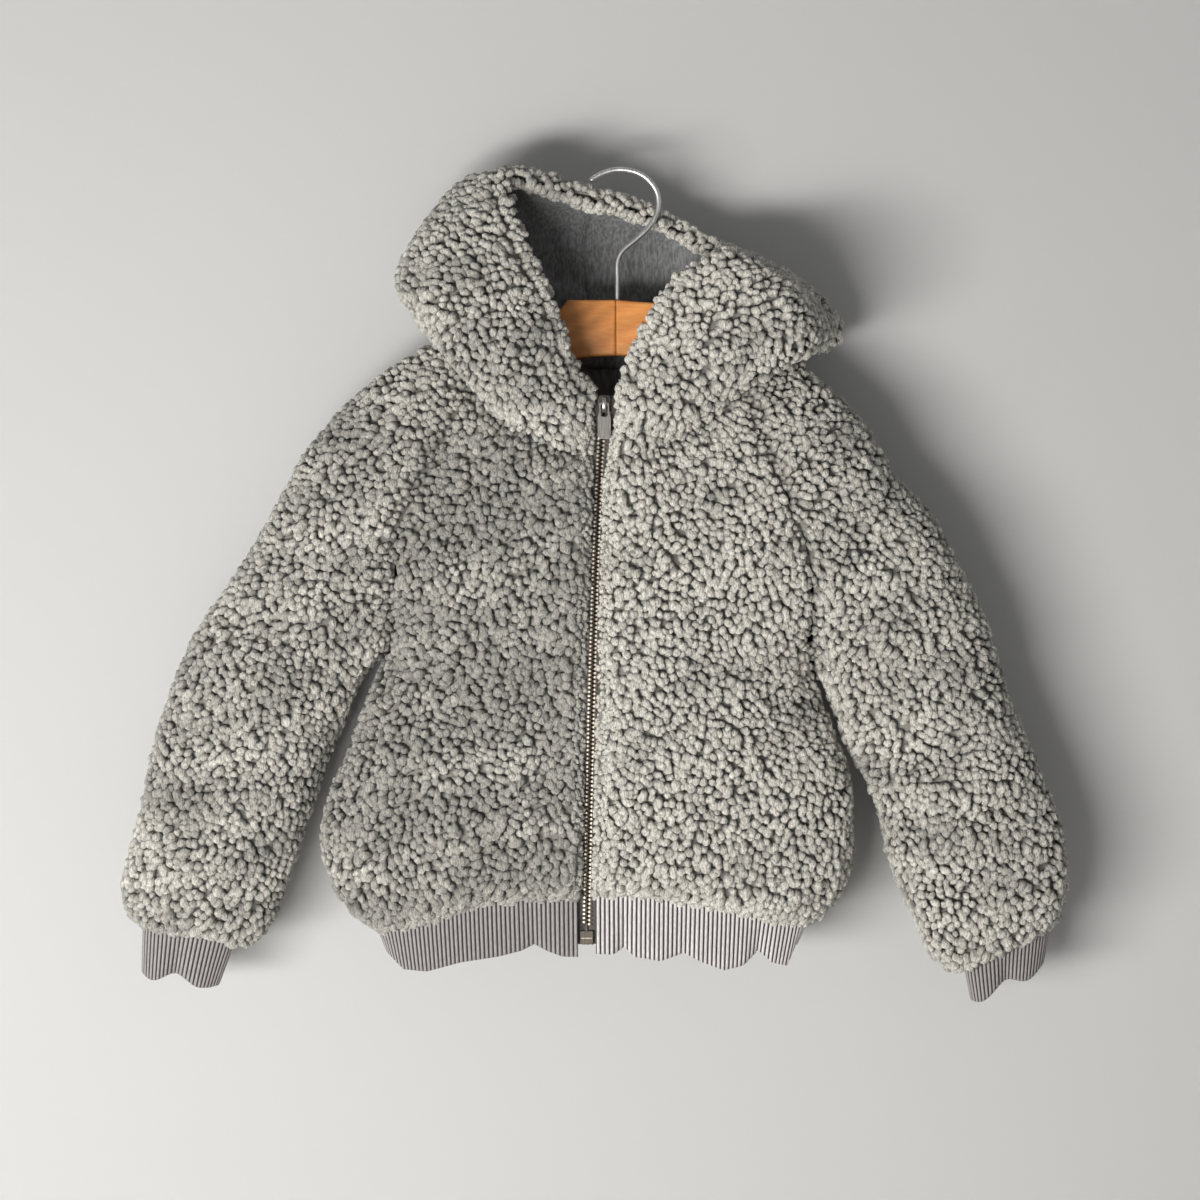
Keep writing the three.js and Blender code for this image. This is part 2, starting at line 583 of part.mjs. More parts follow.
// A line of places, each a point and the way out through the wall there: the place a share along.
function along(places, share) {
  const lengths = [0];
  for (let i = 1; i < places.length; i += 1) {
    lengths.push(lengths[i - 1] + places[i].point.distanceTo(places[i - 1].point));
  }
  const want = share * lengths[lengths.length - 1];
  let k = 0;
  while (k < places.length - 2 && want > lengths[k + 1]) k += 1;
  const s = (want - lengths[k]) / (lengths[k + 1] - lengths[k]);
  const [from, to] = [places[k], places[k + 1]];
  return { point: from.point.clone().lerp(to.point, s), out: from.out.clone().lerp(to.out, s).normalize() };
}

// Rib knit below a fleece edge. top is the line of places it hangs from, and drop gives the lowest
// point under a top point. Ribs are raised on the outside only.
function ribbedBand(name, top, drop, ribs, closed, flip) {
  const rowsDown = [0, 0.5, 1];
  const count = 2 * ribs + (closed ? 0 : 1);
  const outer = [];
  const inner = [];
  const starts = [];
  for (let i = 0; i < count; i += 1) starts.push(along(top, i / (2 * ribs)));
  for (const share of rowsDown) {
    const line = starts.map(({ point }) => point.clone().lerp(drop(point), share));
    const out = line.map((point, i) => {
      const before = line[closed ? (i + count - 1) % count : Math.max(0, i - 1)];
      const after = line[closed ? (i + 1) % count : Math.min(count - 1, i + 1)];
      const level = vec(after.y - before.y, before.x - after.x, 0).normalize().multiplyScalar(flip ? -1 : 1);
      return share === 0 ? starts[i].out : level;
    });
    outer.push(line.map((point, i) => point.clone().addScaledVector(out[i], i % 2 ? ribRelief : 0)));
    inner.push(line.map((point, i) => point.clone().addScaledVector(out[i], -ribKnit)));
  }
  const turned = outer.slice().reverse();
  add(name, wallBetween(turned, inner.slice().reverse(), { closed, flip }), 'rib');
}

// The line under a fleece edge on which a band starts: a third of the way in, a seam gap below.
function underEdge({ outer, inner }, columns) {
  const inShare = 0.35;
  return columns.map((i) => {
    const away = outer[0][i].clone().sub(outer[1][i]).normalize();
    const point = outer[0][i].clone().lerp(inner[0][i], inShare).addScaledVector(away, seamGap);
    return { point, out: outer[0][i].clone().sub(inner[0][i]).normalize() };
  });
}

// The point of the hem band's lower edge that hangs under a point of its top.
function hemDrop(start) {
  const out = clamp01(Math.abs(start.x - zipX(zipBottom)) / hemBottom.halfWidth);
  const wave = Math.cos((2 * Math.PI * (start.x - hemBottom.waveX)) / hemBottom.waveLength);
  const z = mix(hemBottom.middle, hemBottom.side, ease(out)) + hemBottom.wave * wave * ease(out * 2);
  const inward = start.y < 0 ? 1 : -1;
  return vec(start.x * hemBottom.narrow, start.y + inward * hemBottom.draw * wave * out, z);
}

// Whole numbers from one end to the other, in either direction.
function range(from, to) {
  const way = Math.sign(to - from);
  return Array.from({ length: Math.abs(to - from) + 1 }, (_, i) => from + i * way);
}

for (const side of ['right', 'left']) {
  const frontEdge = underEdge(edges[`front_${side}`], range(0, frontSteps));
  const backColumns = side === 'right' ? range(0, backHalf) : range(2 * backHalf, backHalf);
  const backEdge = underEdge(edges.back, backColumns);
  const out = side === 'right' ? -1 : 1;
  frontEdge[0].point.x = zipX(zipBottom) + out * ribOpenHalf;
  backEdge[backEdge.length - 1].point.x += (out * seamGap) / 2;
  const top = [...frontEdge, ...backEdge.slice(1)];
  ribbedBand(`hem_rib_${side}`, top, hemDrop, ribsPerHemHalf, false, side === 'right');
}

for (const side of ['right', 'left']) {
  const { length, shift, lobe } = cuffs[side];
  const ring = underEdge(edges[`sleeve_${side}`], range(0, ringSteps - 1));
  const centre = ring.reduce((sum, { point }) => sum.add(point), vec(0, 0, 0)).divideScalar(ring.length);
  const reach = ring.reduce((most, { point }) => Math.max(most, Math.abs(point.x - centre.x)), 0);
  const drop = (start) => {
    const from = start.clone().sub(centre);
    const inLobe = 0.5 - 0.5 * Math.cos(Math.PI * (from.x / reach - cuffFold.place) * cuffFold.turns);
    const end = centre.clone().addScaledVector(from, cuffNarrow).add(vec(shift, 0, -length));
    end.z -= lobe * inLobe;
    end.y *= mix(cuffFlat, 1, inLobe);
    return end;
  };
  ribbedBand(`cuff_${side}`, [...ring, ring[0]], drop, ribsPerCuff, true, side === 'right');
}

// A strip that follows the zip: each row is a level, low to high x and front to back y.
function zipStrip(rows) {
  const outer = rows.map(({ z, from, to, front }) => [vec(from, front, z), vec(to, front, z)]);
  const inner = rows.map(({ z, from, to, back }) => [vec(from, back, z), vec(to, back, z)]);
  return wallBetween(outer, inner);
}

const zipLevels = range(0, zipLevelSteps).map((k) => mix(zipBottom, zipTop, k / zipLevelSteps));

// Line that the tapes lie behind: the foot of the zip, then the inside of the fleece's edge above it.
const zipEdge = ['front_right', 'hood_right'].flatMap((name) => edges[name].inner.map((row) => row[0]));
const tapeLine = [vec(0, hemZipDepth, zipBottom), ...zipEdge]
  .sort((a, b) => a.z - b.z)
  .filter((point, i, all) => i === 0 || point.z - all[i - 1].z > 1);

// y of the front face of the zip tapes at a height.
function tapeFront(z) {
  const above = tapeLine.findIndex((p) => p.z > z);
  const [low, high] = above < 0 ? tapeLine.slice(-2) : tapeLine.slice(above - 1, above + 1);
  return mix(low.y, high.y, (z - low.z) / (high.z - low.z)) + tapeBehind;
}

for (const side of ['right', 'left']) {
  const out = side === 'right' ? -1 : 1;
  const rows = zipLevels.map((z) => {
    const near = zipX(z) + out * (chainWidth / 2 + besideChain);
    const far = zipX(z) + out * tapeWidth;
    const front = tapeFront(z);
    return { z, from: Math.min(near, far), to: Math.max(near, far), front, back: front + tapeThick };
  });
  add(`zip_tape_${side}`, zipStrip(rows), 'tape');
}

const chainLevels = zipLevels.filter((z) => z > zipBottom + zipBox.height);
add('zip_chain', zipStrip(chainLevels.map((z) => {
  const front = tapeFront(z) - chainProud;
  return { z, from: zipX(z) - chainWidth / 2, to: zipX(z) + chainWidth / 2, front, back: front + chainThick };
})), 'bronze');

// The metal box at the lower end of the zip, in front of the tapes
const boxMiddle = zipBottom + zipBox.height / 2;
const boxY = tapeFront(boxMiddle) - zipBox.thick / 2 - zipBox.clear;
const box = new THREE.BoxGeometry(zipBox.width, zipBox.thick, zipBox.height);
add('zip_box', box.translate(zipX(boxMiddle), boxY, boxMiddle), 'bronze');

// Slider: a waisted plate in front of the teeth, with a bridge that carries the pull
const sliderZ = slider.top - slider.height / 2;
const sliderX = zipX(sliderZ);
const besideSlider = zipLevels.filter((z) => z > slider.top - 2 * slider.height);
const plateBack = Math.min(...besideSlider.map(tapeFront)) - chainProud - slider.clear;
const plateFront = plateBack - slider.thick;

function toManifold(geometry) {
  const plain = geometry.index ? geometry.toNonIndexed() : geometry;
  const source = plain.getAttribute('position');
  const found = new Map();
  const vertProperties = [];
  const triVerts = [];
  for (let i = 0; i < source.count; i += 1) {
    const corner = [source.getX(i), source.getY(i), source.getZ(i)].map((c) => Math.round(c * 1e4) / 1e4);
    const key = corner.join();
    if (!found.has(key)) {
      found.set(key, found.size);
      vertProperties.push(...corner);
    }
    triVerts.push(found.get(key));
  }
  return new wasm.Manifold(new wasm.Mesh({
    numProp: 3,
    vertProperties: new Float32Array(vertProperties),
    triVerts: new Uint32Array(triVerts),
  }));
}

function fromManifold(solid) {
  const mesh = solid.getMesh();
  const geometry = new THREE.BufferGeometry();
  geometry.setAttribute('position', new THREE.Float32BufferAttribute(mesh.vertProperties, 3));
  geometry.setIndex([...mesh.triVerts]);
  return geometry;
}

// A flat outline in x and z, given thickness in y: front is its face towards the viewer.
function plate(shape, front, thick) {
  const geometry = new THREE.ExtrudeGeometry(shape, { depth: thick, bevelEnabled: false, curveSegments: 5 });
  return geometry.rotateX(Math.PI / 2).translate(0, front + thick, 0);
}

function sliderPlate() {
  const half = slider.width / 2;
  const low = sliderZ - slider.height / 2;
  const high = sliderZ + slider.height / 2;
  const shape = new THREE.Shape();
  shape.moveTo(sliderX - half * 0.72, low);
  shape.lineTo(sliderX + half * 0.72, low);
  shape.lineTo(sliderX + half * 0.86, sliderZ - 1);
  shape.lineTo(sliderX + half, sliderZ + 3);
  shape.quadraticCurveTo(sliderX + half, high, sliderX + half * 0.5, high);
  shape.lineTo(sliderX - half * 0.5, high);
  shape.quadraticCurveTo(sliderX - half, high, sliderX - half, sliderZ + 3);
  shape.lineTo(sliderX - half * 0.86, sliderZ - 1);
  shape.closePath();
  return plate(shape, plateFront, slider.thick);
}

// The bridge is drawn from the side: y across, z up, then turned and given its width along x.
function sliderBridge() {
  const low = sliderZ - bridge.height / 2;
  const high = sliderZ + bridge.height / 2;
  const root = plateFront + bridge.root;
  const crown = plateFront - bridge.reach;
  const inside = crown + bridge.bar;
  const shape = new THREE.Shape();
  shape.moveTo(root, low);
  shape.lineTo(crown + bridge.corner, low);
  shape.lineTo(crown, low + bridge.corner);
  shape.lineTo(crown, high - bridge.corner);
  shape.lineTo(crown + bridge.corner, high);
  shape.lineTo(root, high);
  shape.lineTo(root, high - bridge.bar);
  shape.lineTo(inside + bridge.round, high - bridge.bar);
  shape.lineTo(inside, high - bridge.bar - bridge.round);
  shape.lineTo(inside, low + bridge.bar + bridge.round);
  shape.lineTo(inside + bridge.round, low + bridge.bar);
  shape.lineTo(root, low + bridge.bar);
  shape.closePath();
  const geometry = new THREE.ExtrudeGeometry(shape, { depth: bridge.width, bevelEnabled: false });
  const upright = new THREE.Matrix4().makeBasis(vec(0, 1, 0), vec(0, 0, 1), vec(1, 0, 0));
  return geometry.applyMatrix4(upright).translate(sliderX - bridge.width / 2, 0, 0);
}

add('zip_slider', fromManifold(toManifold(sliderPlate()).add(toManifold(sliderBridge()))), 'nickel');

// Pull: swings about the bar at its top, which lies under the bridge
const pivot = { x: sliderX, y: plateFront - pull.infront, z: sliderZ + pull.rise };

function pullTab() {
  const top = pivot.z + pull.bar;
  const low = pivot.z - pull.length;
  const wide = pull.width / 2;
  const narrow = pull.neck / 2;
  const shape = new THREE.Shape();
  shape.moveTo(pivot.x - narrow, top);
  shape.lineTo(pivot.x - narrow, top - pull.neckLength);
  shape.lineTo(pivot.x - wide, top - pull.flare);
  shape.lineTo(pivot.x - wide, low + pull.corner);
  shape.quadraticCurveTo(pivot.x - wide, low, pivot.x - wide + pull.corner, low);
  shape.lineTo(pivot.x + wide - pull.corner, low);
  shape.quadraticCurveTo(pivot.x + wide, low, pivot.x + wide, low + pull.corner);
  shape.lineTo(pivot.x + wide, top - pull.flare);
  shape.lineTo(pivot.x + narrow, top - pull.neckLength);
  shape.lineTo(pivot.x + narrow, top);
  shape.closePath();
  const slot = new THREE.Path();
  const slotTop = pivot.z - pull.bar;
  slot.moveTo(pivot.x - pull.slotHalf, slotTop);
  slot.lineTo(pivot.x + pull.slotHalf, slotTop);
  slot.lineTo(pivot.x + pull.slotHalf, slotTop - pull.slotLength);
  slot.lineTo(pivot.x - pull.slotHalf, slotTop - pull.slotLength);
  slot.closePath();
  shape.holes.push(slot);
  return plate(shape, pivot.y - pull.thick / 2, pull.thick);
}
add('zip_pull', pullTab(), 'nickel');

// One half of the hanger's wood, from the glue line to the shoulder.
function woodHalf(side) {
  const out = side === 'right' ? -1 : 1;
  const inside = wood.joint + out * wood.glueLine;
  // Inside of the sleeve top over each face of the wood, the lower of the two counting
  const crest = edges[`sleeve_${side}`].inner.map((row) => {
    const top = row[ringSteps / 2];
    const sides = [row[ringSteps / 2 - 1], row[ringSteps / 2 + 1]];
    const over = sides.map((p) => top.clone().lerp(p, Math.min(1, wood.thick / 2 / Math.abs(p.y - top.y))));
    return over[0].z < over[1].z ? over[0] : over[1];
  });
  const carries = (p) => Math.abs(p.x) > wood.fromNeck && out * p.x < out * woodEnd[side];
  const rest = crest.reverse().filter(carries);
  const end = rest[rest.length - 1];
  const [shoulderX, shoulderZ, chamferX, chamferZ] = corner[side];
  const shape = new THREE.Shape();
  shape.moveTo(inside, wood.middleTop);
  shape.lineTo(shoulderX, shoulderZ);
  shape.lineTo(chamferX, chamferZ);
  shape.lineTo(...underNeck[side]);
  for (const p of rest) shape.lineTo(p.x, p.z - wood.under);
  shape.bezierCurveTo(
    end.x + out * 3, end.z - 12, end.x + out * 5, end.z - wood.armDepth * 0.8,
    end.x - out * 8, end.z - wood.armDepth,
  );
  shape.bezierCurveTo(
    end.x - out * 50, end.z - wood.armDepth + 14, out * 48, wood.middleBottom - 14,
    out * 30, wood.middleBottom - 3,
  );
  shape.quadraticCurveTo(out * 14, wood.middleBottom, inside, wood.middleBottom);
  shape.closePath();
  return plate(shape, -wood.thick / 2, wood.thick);
}
add('hanger_wood_right', woodHalf('right'), 'wood');
add('hanger_wood_left', woodHalf('left'), 'wood');

// Round wire along a line of points.
function wireAlong(points, radius) {
  const section = new THREE.Shape();
  section.absarc(0, 0, radius, 0, 2 * Math.PI, false);
  return new THREE.ExtrudeGeometry(section, {
    steps: wireSteps, curveSegments: 4, extrudePath: new THREE.CatmullRomCurve3(points), bevelEnabled: false,
  });
}
add('hanger_hook', wireAlong(hookLine.map(([x, z]) => vec(x, 0, z)), wire), 'steel');

export default jacket;
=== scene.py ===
# %% [markdown]
# # A small child's pile fleece jacket on a wooden hanger
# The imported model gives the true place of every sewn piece. This script keeps those places and gives
# each piece what cloth has: a thin backing, curled tufts of pile, knitted ribs, zip teeth, stitches.
# All lengths in the tables are millimetres, as a maker would measure them.

# %% Load the frame
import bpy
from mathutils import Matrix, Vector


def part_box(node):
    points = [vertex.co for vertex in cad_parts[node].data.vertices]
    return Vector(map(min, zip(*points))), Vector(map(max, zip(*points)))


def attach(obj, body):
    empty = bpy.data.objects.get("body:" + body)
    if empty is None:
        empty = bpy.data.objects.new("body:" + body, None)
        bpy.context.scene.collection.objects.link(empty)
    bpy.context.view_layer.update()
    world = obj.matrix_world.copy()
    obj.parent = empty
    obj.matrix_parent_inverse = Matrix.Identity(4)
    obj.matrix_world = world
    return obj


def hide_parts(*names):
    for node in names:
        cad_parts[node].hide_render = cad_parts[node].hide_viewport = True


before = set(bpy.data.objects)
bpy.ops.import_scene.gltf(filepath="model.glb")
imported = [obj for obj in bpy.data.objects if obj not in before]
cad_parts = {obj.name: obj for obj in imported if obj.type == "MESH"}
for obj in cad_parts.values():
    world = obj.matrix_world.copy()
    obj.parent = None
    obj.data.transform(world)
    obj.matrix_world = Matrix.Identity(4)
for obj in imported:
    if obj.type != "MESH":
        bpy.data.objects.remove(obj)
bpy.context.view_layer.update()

import math

import bpy
import numpy as np
from mathutils import Vector

MM = 0.001
IMAGE_SIDE = 1200

# %% [markdown]
# ## Camera
# The photograph looks straight at the jacket. A long lens far away keeps the sleeves, which lie
# further back than the chest, at their true size. One millimetre at the cloth is 1.47 pixels.

# %% Camera
VIEW_MIDDLE = (-11.56, -25.0, -293.8)   # the point in the middle of the picture
VIEW_WIDTH = 816.0                      # what the picture spans at that point
VIEW_DISTANCE = 2500.0
SENSOR = 36.0

camera_data = bpy.data.cameras.new("camera")
camera_data.sensor_width = SENSOR
camera_data.lens = SENSOR * VIEW_DISTANCE / VIEW_WIDTH
camera_data.clip_end = 50.0
camera = bpy.data.objects.new("camera", camera_data)
camera.location = (VIEW_MIDDLE[0] * MM, (VIEW_MIDDLE[1] - VIEW_DISTANCE) * MM, VIEW_MIDDLE[2] * MM)
camera.rotation_euler = (math.pi / 2, 0.0, 0.0)
bpy.context.scene.collection.objects.link(camera)
bpy.context.scene.camera = camera
print("pixels per mm:", round(IMAGE_SIDE / VIEW_WIDTH, 3))

# %% [markdown]
# ## Small tools for shapes
# Every panel is a function of two numbers, across and up, worked out for whole arrays at once.
# Its tables hold a few measured rows, and a cubic curve joins them smoothly.

# %% Mixing, easing and the cubic through knots
SEED = 41


def mix(a, b, t):
    """Straight line from a to b: a plus t times the difference."""
    return a + (b - a) * t


def ease(t):
    """Slow at both ends: 3 t squared minus 2 t cubed, with t kept between 0 and 1."""
    t = np.clip(t, 0.0, 1.0)
    return t * t * (3 - 2 * t)


def knot_weights(knots, t):
    """How much each knot counts at t. Between two knots the value is the straight line plus
    s (1 - s) (a (1 - s) + b s), where a and b make the slope at each knot that of its neighbours."""
    knots = np.asarray(knots, float)
    last = len(knots) - 1
    t = np.clip(np.asarray(t, float), knots[0], knots[last])
    k = np.clip(np.searchsorted(knots, t) - 1, 0, last - 1)
    every = np.arange(last + 1)
    before = np.maximum(every - 1, 0)
    after = np.minimum(every + 1, last)
    one = np.eye(last + 1)
    slopes = (one[after] - one[before]) / (knots[after] - knots[before])[:, None]
    span = (knots[k + 1] - knots[k])[..., None]
    s = (t - knots[k])[..., None] / span
    rise = one[k + 1] - one[k]
    bend_a = slopes[k] * span - rise
    bend_b = rise - slopes[k + 1] * span
    return one[k] + s * rise + s * (1 - s) * (bend_a * (1 - s) + bend_b * s)


def column(table, number, t):
    """One column of a table whose first column holds the knots, at t."""
    rows = np.asarray(table, float)
    return knot_weights(rows[:, 0], t) @ rows[:, number]


def place_on(table, t):
    """A point of a seam line: its columns 1 to 3 at t."""
    rows = np.asarray(table, float)
    return knot_weights(rows[:, 0], t) @ rows[:, 1:4]


def unit(vectors):
    """Each vector divided by its length."""
    return vectors / np.maximum(np.linalg.norm(vectors, axis=-1, keepdims=True), 1e-9)


def dot(a, b):
    """Sum of products along the last axis, kept as a column."""
    return np.sum(a * b, axis=-1, keepdims=True)


# %% Meshes from arrays
def grid_quads(rows, columns, closed=False):
    """Corner numbers of the quads of a grid of rows by columns; closed joins the last column to the first."""
    k = np.arange(rows - 1)[:, None]
    i = np.arange(columns if closed else columns - 1)[None, :]
    after = (i + 1) % columns
    quads = [k * columns + i, k * columns + after, (k + 1) * columns + after, (k + 1) * columns + i]
    return np.stack(np.broadcast_arrays(*quads), axis=-1).reshape(-1, 4)


def mesh_from(name, points, quads, triangles=None):
    """A Blender mesh of points in millimetres with quads and triangles, smooth all over."""
    triangles = np.zeros((0, 3), int) if triangles is None else triangles
    corners = np.concatenate([quads.ravel(), triangles.ravel()]).astype(np.int32)
    starts = np.concatenate([np.arange(len(quads)) * 4, len(quads) * 4 + np.arange(len(triangles)) * 3])
    mesh = bpy.data.meshes.new(name)
    mesh.vertices.add(len(points))
    mesh.vertices.foreach_set("co", (points * MM).astype(np.float32).ravel())
    mesh.loops.add(len(corners))
    mesh.loops.foreach_set("vertex_index", corners)
    mesh.polygons.add(len(starts))
    mesh.polygons.foreach_set("loop_start", starts.astype(np.int32))
    mesh.update(calc_edges=True)
    mesh.validate()
    mesh.polygons.foreach_set("use_smooth", np.ones(len(mesh.polygons), bool))
    return mesh


def wall(outer, inner, closed=False, flip=False):
    """Points and quads of a closed wall between two grids of the same size, faces outwards."""
    rows, columns = outer.shape[:2]
    count = rows * columns
    points = np.concatenate([outer.reshape(-1, 3), inner.reshape(-1, 3)])
    face = grid_quads(rows, columns, closed)
    number = np.arange(count).reshape(rows, columns)
    if closed:
        number = np.concatenate([number, number[:, :1]], axis=1)
    low, high = number[0], number[-1]
    edges = [
        np.stack([low[1:], low[:-1], low[:-1] + count, low[1:] + count], axis=-1),
        np.stack([high[:-1], high[1:], high[1:] + count, high[:-1] + count], axis=-1),
    ]
    if not closed:
        first, final = number[:, 0], number[:, -1]
        edges += [
            np.stack([first[:-1], first[1:], first[1:] + count, first[:-1] + count], axis=-1),
            np.stack([final[1:], final[:-1], final[:-1] + count, final[1:] + count], axis=-1),
        ]
    quads = np.concatenate([face, face[:, ::-1] + count, *edges])
    return points, quads[:, ::-1] if flip else quads


def colour_points(mesh, name, values):
    """Keeps three numbers for each point in a colour attribute that materials can read."""
    attribute = mesh.attributes.new(name, "FLOAT_COLOR", "POINT")
    colours = np.ones((len(values), 4), np.float32)
    colours[:, :3] = values
    attribute.data.foreach_set("color", colours.ravel())


def new_piece(name, mesh, material, body, replaces=()):
    """An object at the origin that rides on a body and stands for the named solids."""
    piece = bpy.data.objects.new(name, mesh)
    bpy.context.scene.collection.objects.link(piece)
    mesh.materials.append(material)
    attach(piece, body)
    if replaces:
        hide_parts(*replaces)
    faces = sum(len(p.vertices) - 2 for p in mesh.polygons) if len(mesh.polygons) < 5000 else None
    print(name, "polygons:", len(mesh.polygons), "triangles:", faces)
    return piece


# %% [markdown]
# ## Materials
# Pile, jersey, rib and tape are all yarn, so they share one group of nodes: a fine uneven bump and
# a soft mottling, like fibres seen from near. Each material places it with its own scale.

# %% A helper for node trees
def add_node(tree, kind, place, **inputs):
    """A node of a kind at a place, with its sockets set; spaces in socket names are underscores."""
    node = tree.nodes.new(kind)
    node.location = place
    for name, value in inputs.items():
        node.inputs[name.replace("_", " ")].default_value = value
    return node


def yarn_group():
    """Colour and bump of fibres: noise mixes a light and a dark tone, and the same noise roughens the normal."""
    tree = bpy.data.node_groups.new("yarn fibres", "ShaderNodeTree")
    sockets = tree.interface
    for name, kind in (("Vector", "NodeSocketVector"), ("Light", "NodeSocketColor"),
                       ("Dark", "NodeSocketColor"), ("Scale", "NodeSocketFloat"),
                       ("Contrast", "NodeSocketFloat"), ("Depth", "NodeSocketFloat")):
        sockets.new_socket(name=name, in_out="INPUT", socket_type=kind)
    sockets.new_socket(name="Color", in_out="OUTPUT", socket_type="NodeSocketColor")
    sockets.new_socket(name="Normal", in_out="OUTPUT", socket_type="NodeSocketVector")
    inside = tree.nodes.new("NodeGroupInput")
    inside.location = (-700, 0)
    outside = tree.nodes.new("NodeGroupOutput")
    outside.location = (500, 0)
    fibres = add_node(tree, "ShaderNodeTexNoise", (-450, 100), Detail=3.0, Roughness=0.6)
    steeper = add_node(tree, "ShaderNodeMath", (-250, 200))
    steeper.operation = "SUBTRACT"
    steeper.inputs[1].default_value = 0.5
    times = add_node(tree, "ShaderNodeMath", (-100, 200))
    times.operation = "MULTIPLY_ADD"
    times.inputs[2].default_value = 0.5
    times.use_clamp = True
    blend = add_node(tree, "ShaderNodeMix", (100, 150))
    blend.data_type = "RGBA"
    bump = add_node(tree, "ShaderNodeBump", (100, -150), Distance=0.001)
    link = tree.links.new
    link(inside.outputs["Vector"], fibres.inputs["Vector"])
    link(inside.outputs["Scale"], fibres.inputs["Scale"])
    link(fibres.outputs["Fac"], steeper.inputs[0])
    link(steeper.outputs[0], times.inputs[0])
    link(inside.outputs["Contrast"], times.inputs[1])
    link(times.outputs[0], blend.inputs["Factor"])
    link(inside.outputs["Dark"], blend.inputs["A"])
    link(inside.outputs["Light"], blend.inputs["B"])
    link(fibres.outputs["Fac"], bump.inputs["Height"])
    link(inside.outputs["Depth"], bump.inputs["Strength"])
    link(blend.outputs["Result"], outside.inputs["Color"])
    link(bump.outputs["Normal"], outside.inputs["Normal"])
    return tree


YARN = yarn_group()


def new_material(name, roughness, metallic=0.0, sheen=0.0, coat=0.0):
    """A material with its own Principled shader; gives the node tree and the shader."""
    material = bpy.data.materials.new(name)
    material.use_nodes = True
    tree = material.node_tree
    shader = tree.nodes["Principled BSDF"]
    shader.inputs["Roughness"].default_value = roughness
    shader.inputs["Metallic"].default_value = metallic
    shader.inputs["Sheen Weight"].default_value = sheen
    shader.inputs["Sheen Roughness"].default_value = 0.6
    shader.inputs["Coat Weight"].default_value = coat
    return material, tree, shader


def add_yarn(tree, shader, scale, contrast, depth, light, dark, stretch=(1.0, 1.0, 1.0)):
    """Places the yarn group on Object coordinates, stretched by a Mapping node."""
    place = tree.nodes.new("ShaderNodeTexCoord")
    place.location = (-1100, 0)
    turn = add_node(tree, "ShaderNodeMapping", (-900, 0), Scale=stretch)
    yarn = tree.nodes.new("ShaderNodeGroup")
    yarn.node_tree = YARN
    yarn.location = (-650, 0)
    yarn.inputs["Scale"].default_value = scale
    yarn.inputs["Contrast"].default_value = contrast
    yarn.inputs["Depth"].default_value = depth
    yarn.inputs["Light"].default_value = (*light, 1.0)
    yarn.inputs["Dark"].default_value = (*dark, 1.0)
    tree.links.new(place.outputs["Object"], turn.inputs["Vector"])
    tree.links.new(turn.outputs["Vector"], yarn.inputs["Vector"])
    tree.links.new(yarn.outputs["Normal"], shader.inputs["Normal"])
    return yarn


def multiply_colours(tree, first, second, place):
    """A Mix node that multiplies two colour outputs."""
    times = add_node(tree, "ShaderNodeMix", place)
    times.data_type = "RGBA"
    times.blend_type = "MULTIPLY"
    times.inputs["Factor"].default_value = 1.0
    tree.links.new(first, times.inputs["A"])
    tree.links.new(second, times.inputs["B"])
    return times.outputs["Result"]


# %% [markdown]
# ## The pile's colours and painted shade
# A tuft is pale oatmeal at its curled tip and grey-brown at its root; the dark of the root is painted
# shade, for the crevices between tufts where little light reaches. Each point keeps how far it is from
# root to tip, its tuft's own tone with the painted light and shade of its piece, and how matted the
# place is.

# %% Pile and backing
def pile_material():
    material, tree, shader = new_material("curled pile", 0.95, sheen=0.35)
    shader.inputs["Specular IOR Level"].default_value = 0.15
    yarn = add_yarn(tree, shader, 480.0, 3.2, 2.0, (1.0, 1.0, 1.0), (0.48, 0.48, 0.48), stretch=(1.6, 1.0, 0.8))
    where = add_node(tree, "ShaderNodeAttribute", (-900, 400))
    where.attribute_name = "pile"
    split = add_node(tree, "ShaderNodeSeparateColor", (-700, 400))
    ramp = add_node(tree, "ShaderNodeValToRGB", (-500, 450))
    # Root to tip: from painted shade at the low points, down in the crevices, to the tips' own pale oatmeal.
    stops = ramp.color_ramp.elements
    stops[0].position, stops[0].color = 0.22, (0.125, 0.119, 0.105, 1.0)
    stops[1].position, stops[1].color = 0.92, (0.94, 0.905, 0.815, 1.0)
    middle = stops.new(0.52)
    middle.color = (0.47, 0.45, 0.395, 1.0)
    # The second number darkens a tuft by up to half: its own tone, with the painted light and shade of its piece.
    tone = add_node(tree, "ShaderNodeValToRGB", (-500, 700))
    tone.color_ramp.elements[0].color = (0.50, 0.50, 0.50, 1.0)
    tone.color_ramp.elements[1].color = (1.0, 1.0, 1.0, 1.0)
    tree.links.new(where.outputs["Color"], split.inputs["Color"])
    tree.links.new(split.outputs["Red"], ramp.inputs["Fac"])
    tree.links.new(split.outputs["Green"], tone.inputs["Fac"])
    toned = multiply_colours(tree, ramp.outputs["Color"], tone.outputs["Color"], (-200, 500))
    final = multiply_colours(tree, toned, yarn.outputs["Color"], (0, 400))
    tree.links.new(final, shader.inputs["Base Color"])
    return material


def plain_yarn_material(name, roughness, scale, contrast, depth, light, dark, sheen=0.2, stretch=(1, 1, 1)):
    material, tree, shader = new_material(name, roughness, sheen=sheen)
    shader.inputs["Specular IOR Level"].default_value = 0.2
    yarn = add_yarn(tree, shader, scale, contrast, depth, light, dark, stretch)
    tree.links.new(yarn.outputs["Color"], shader.inputs["Base Color"])
    return material


PILE = pile_material()
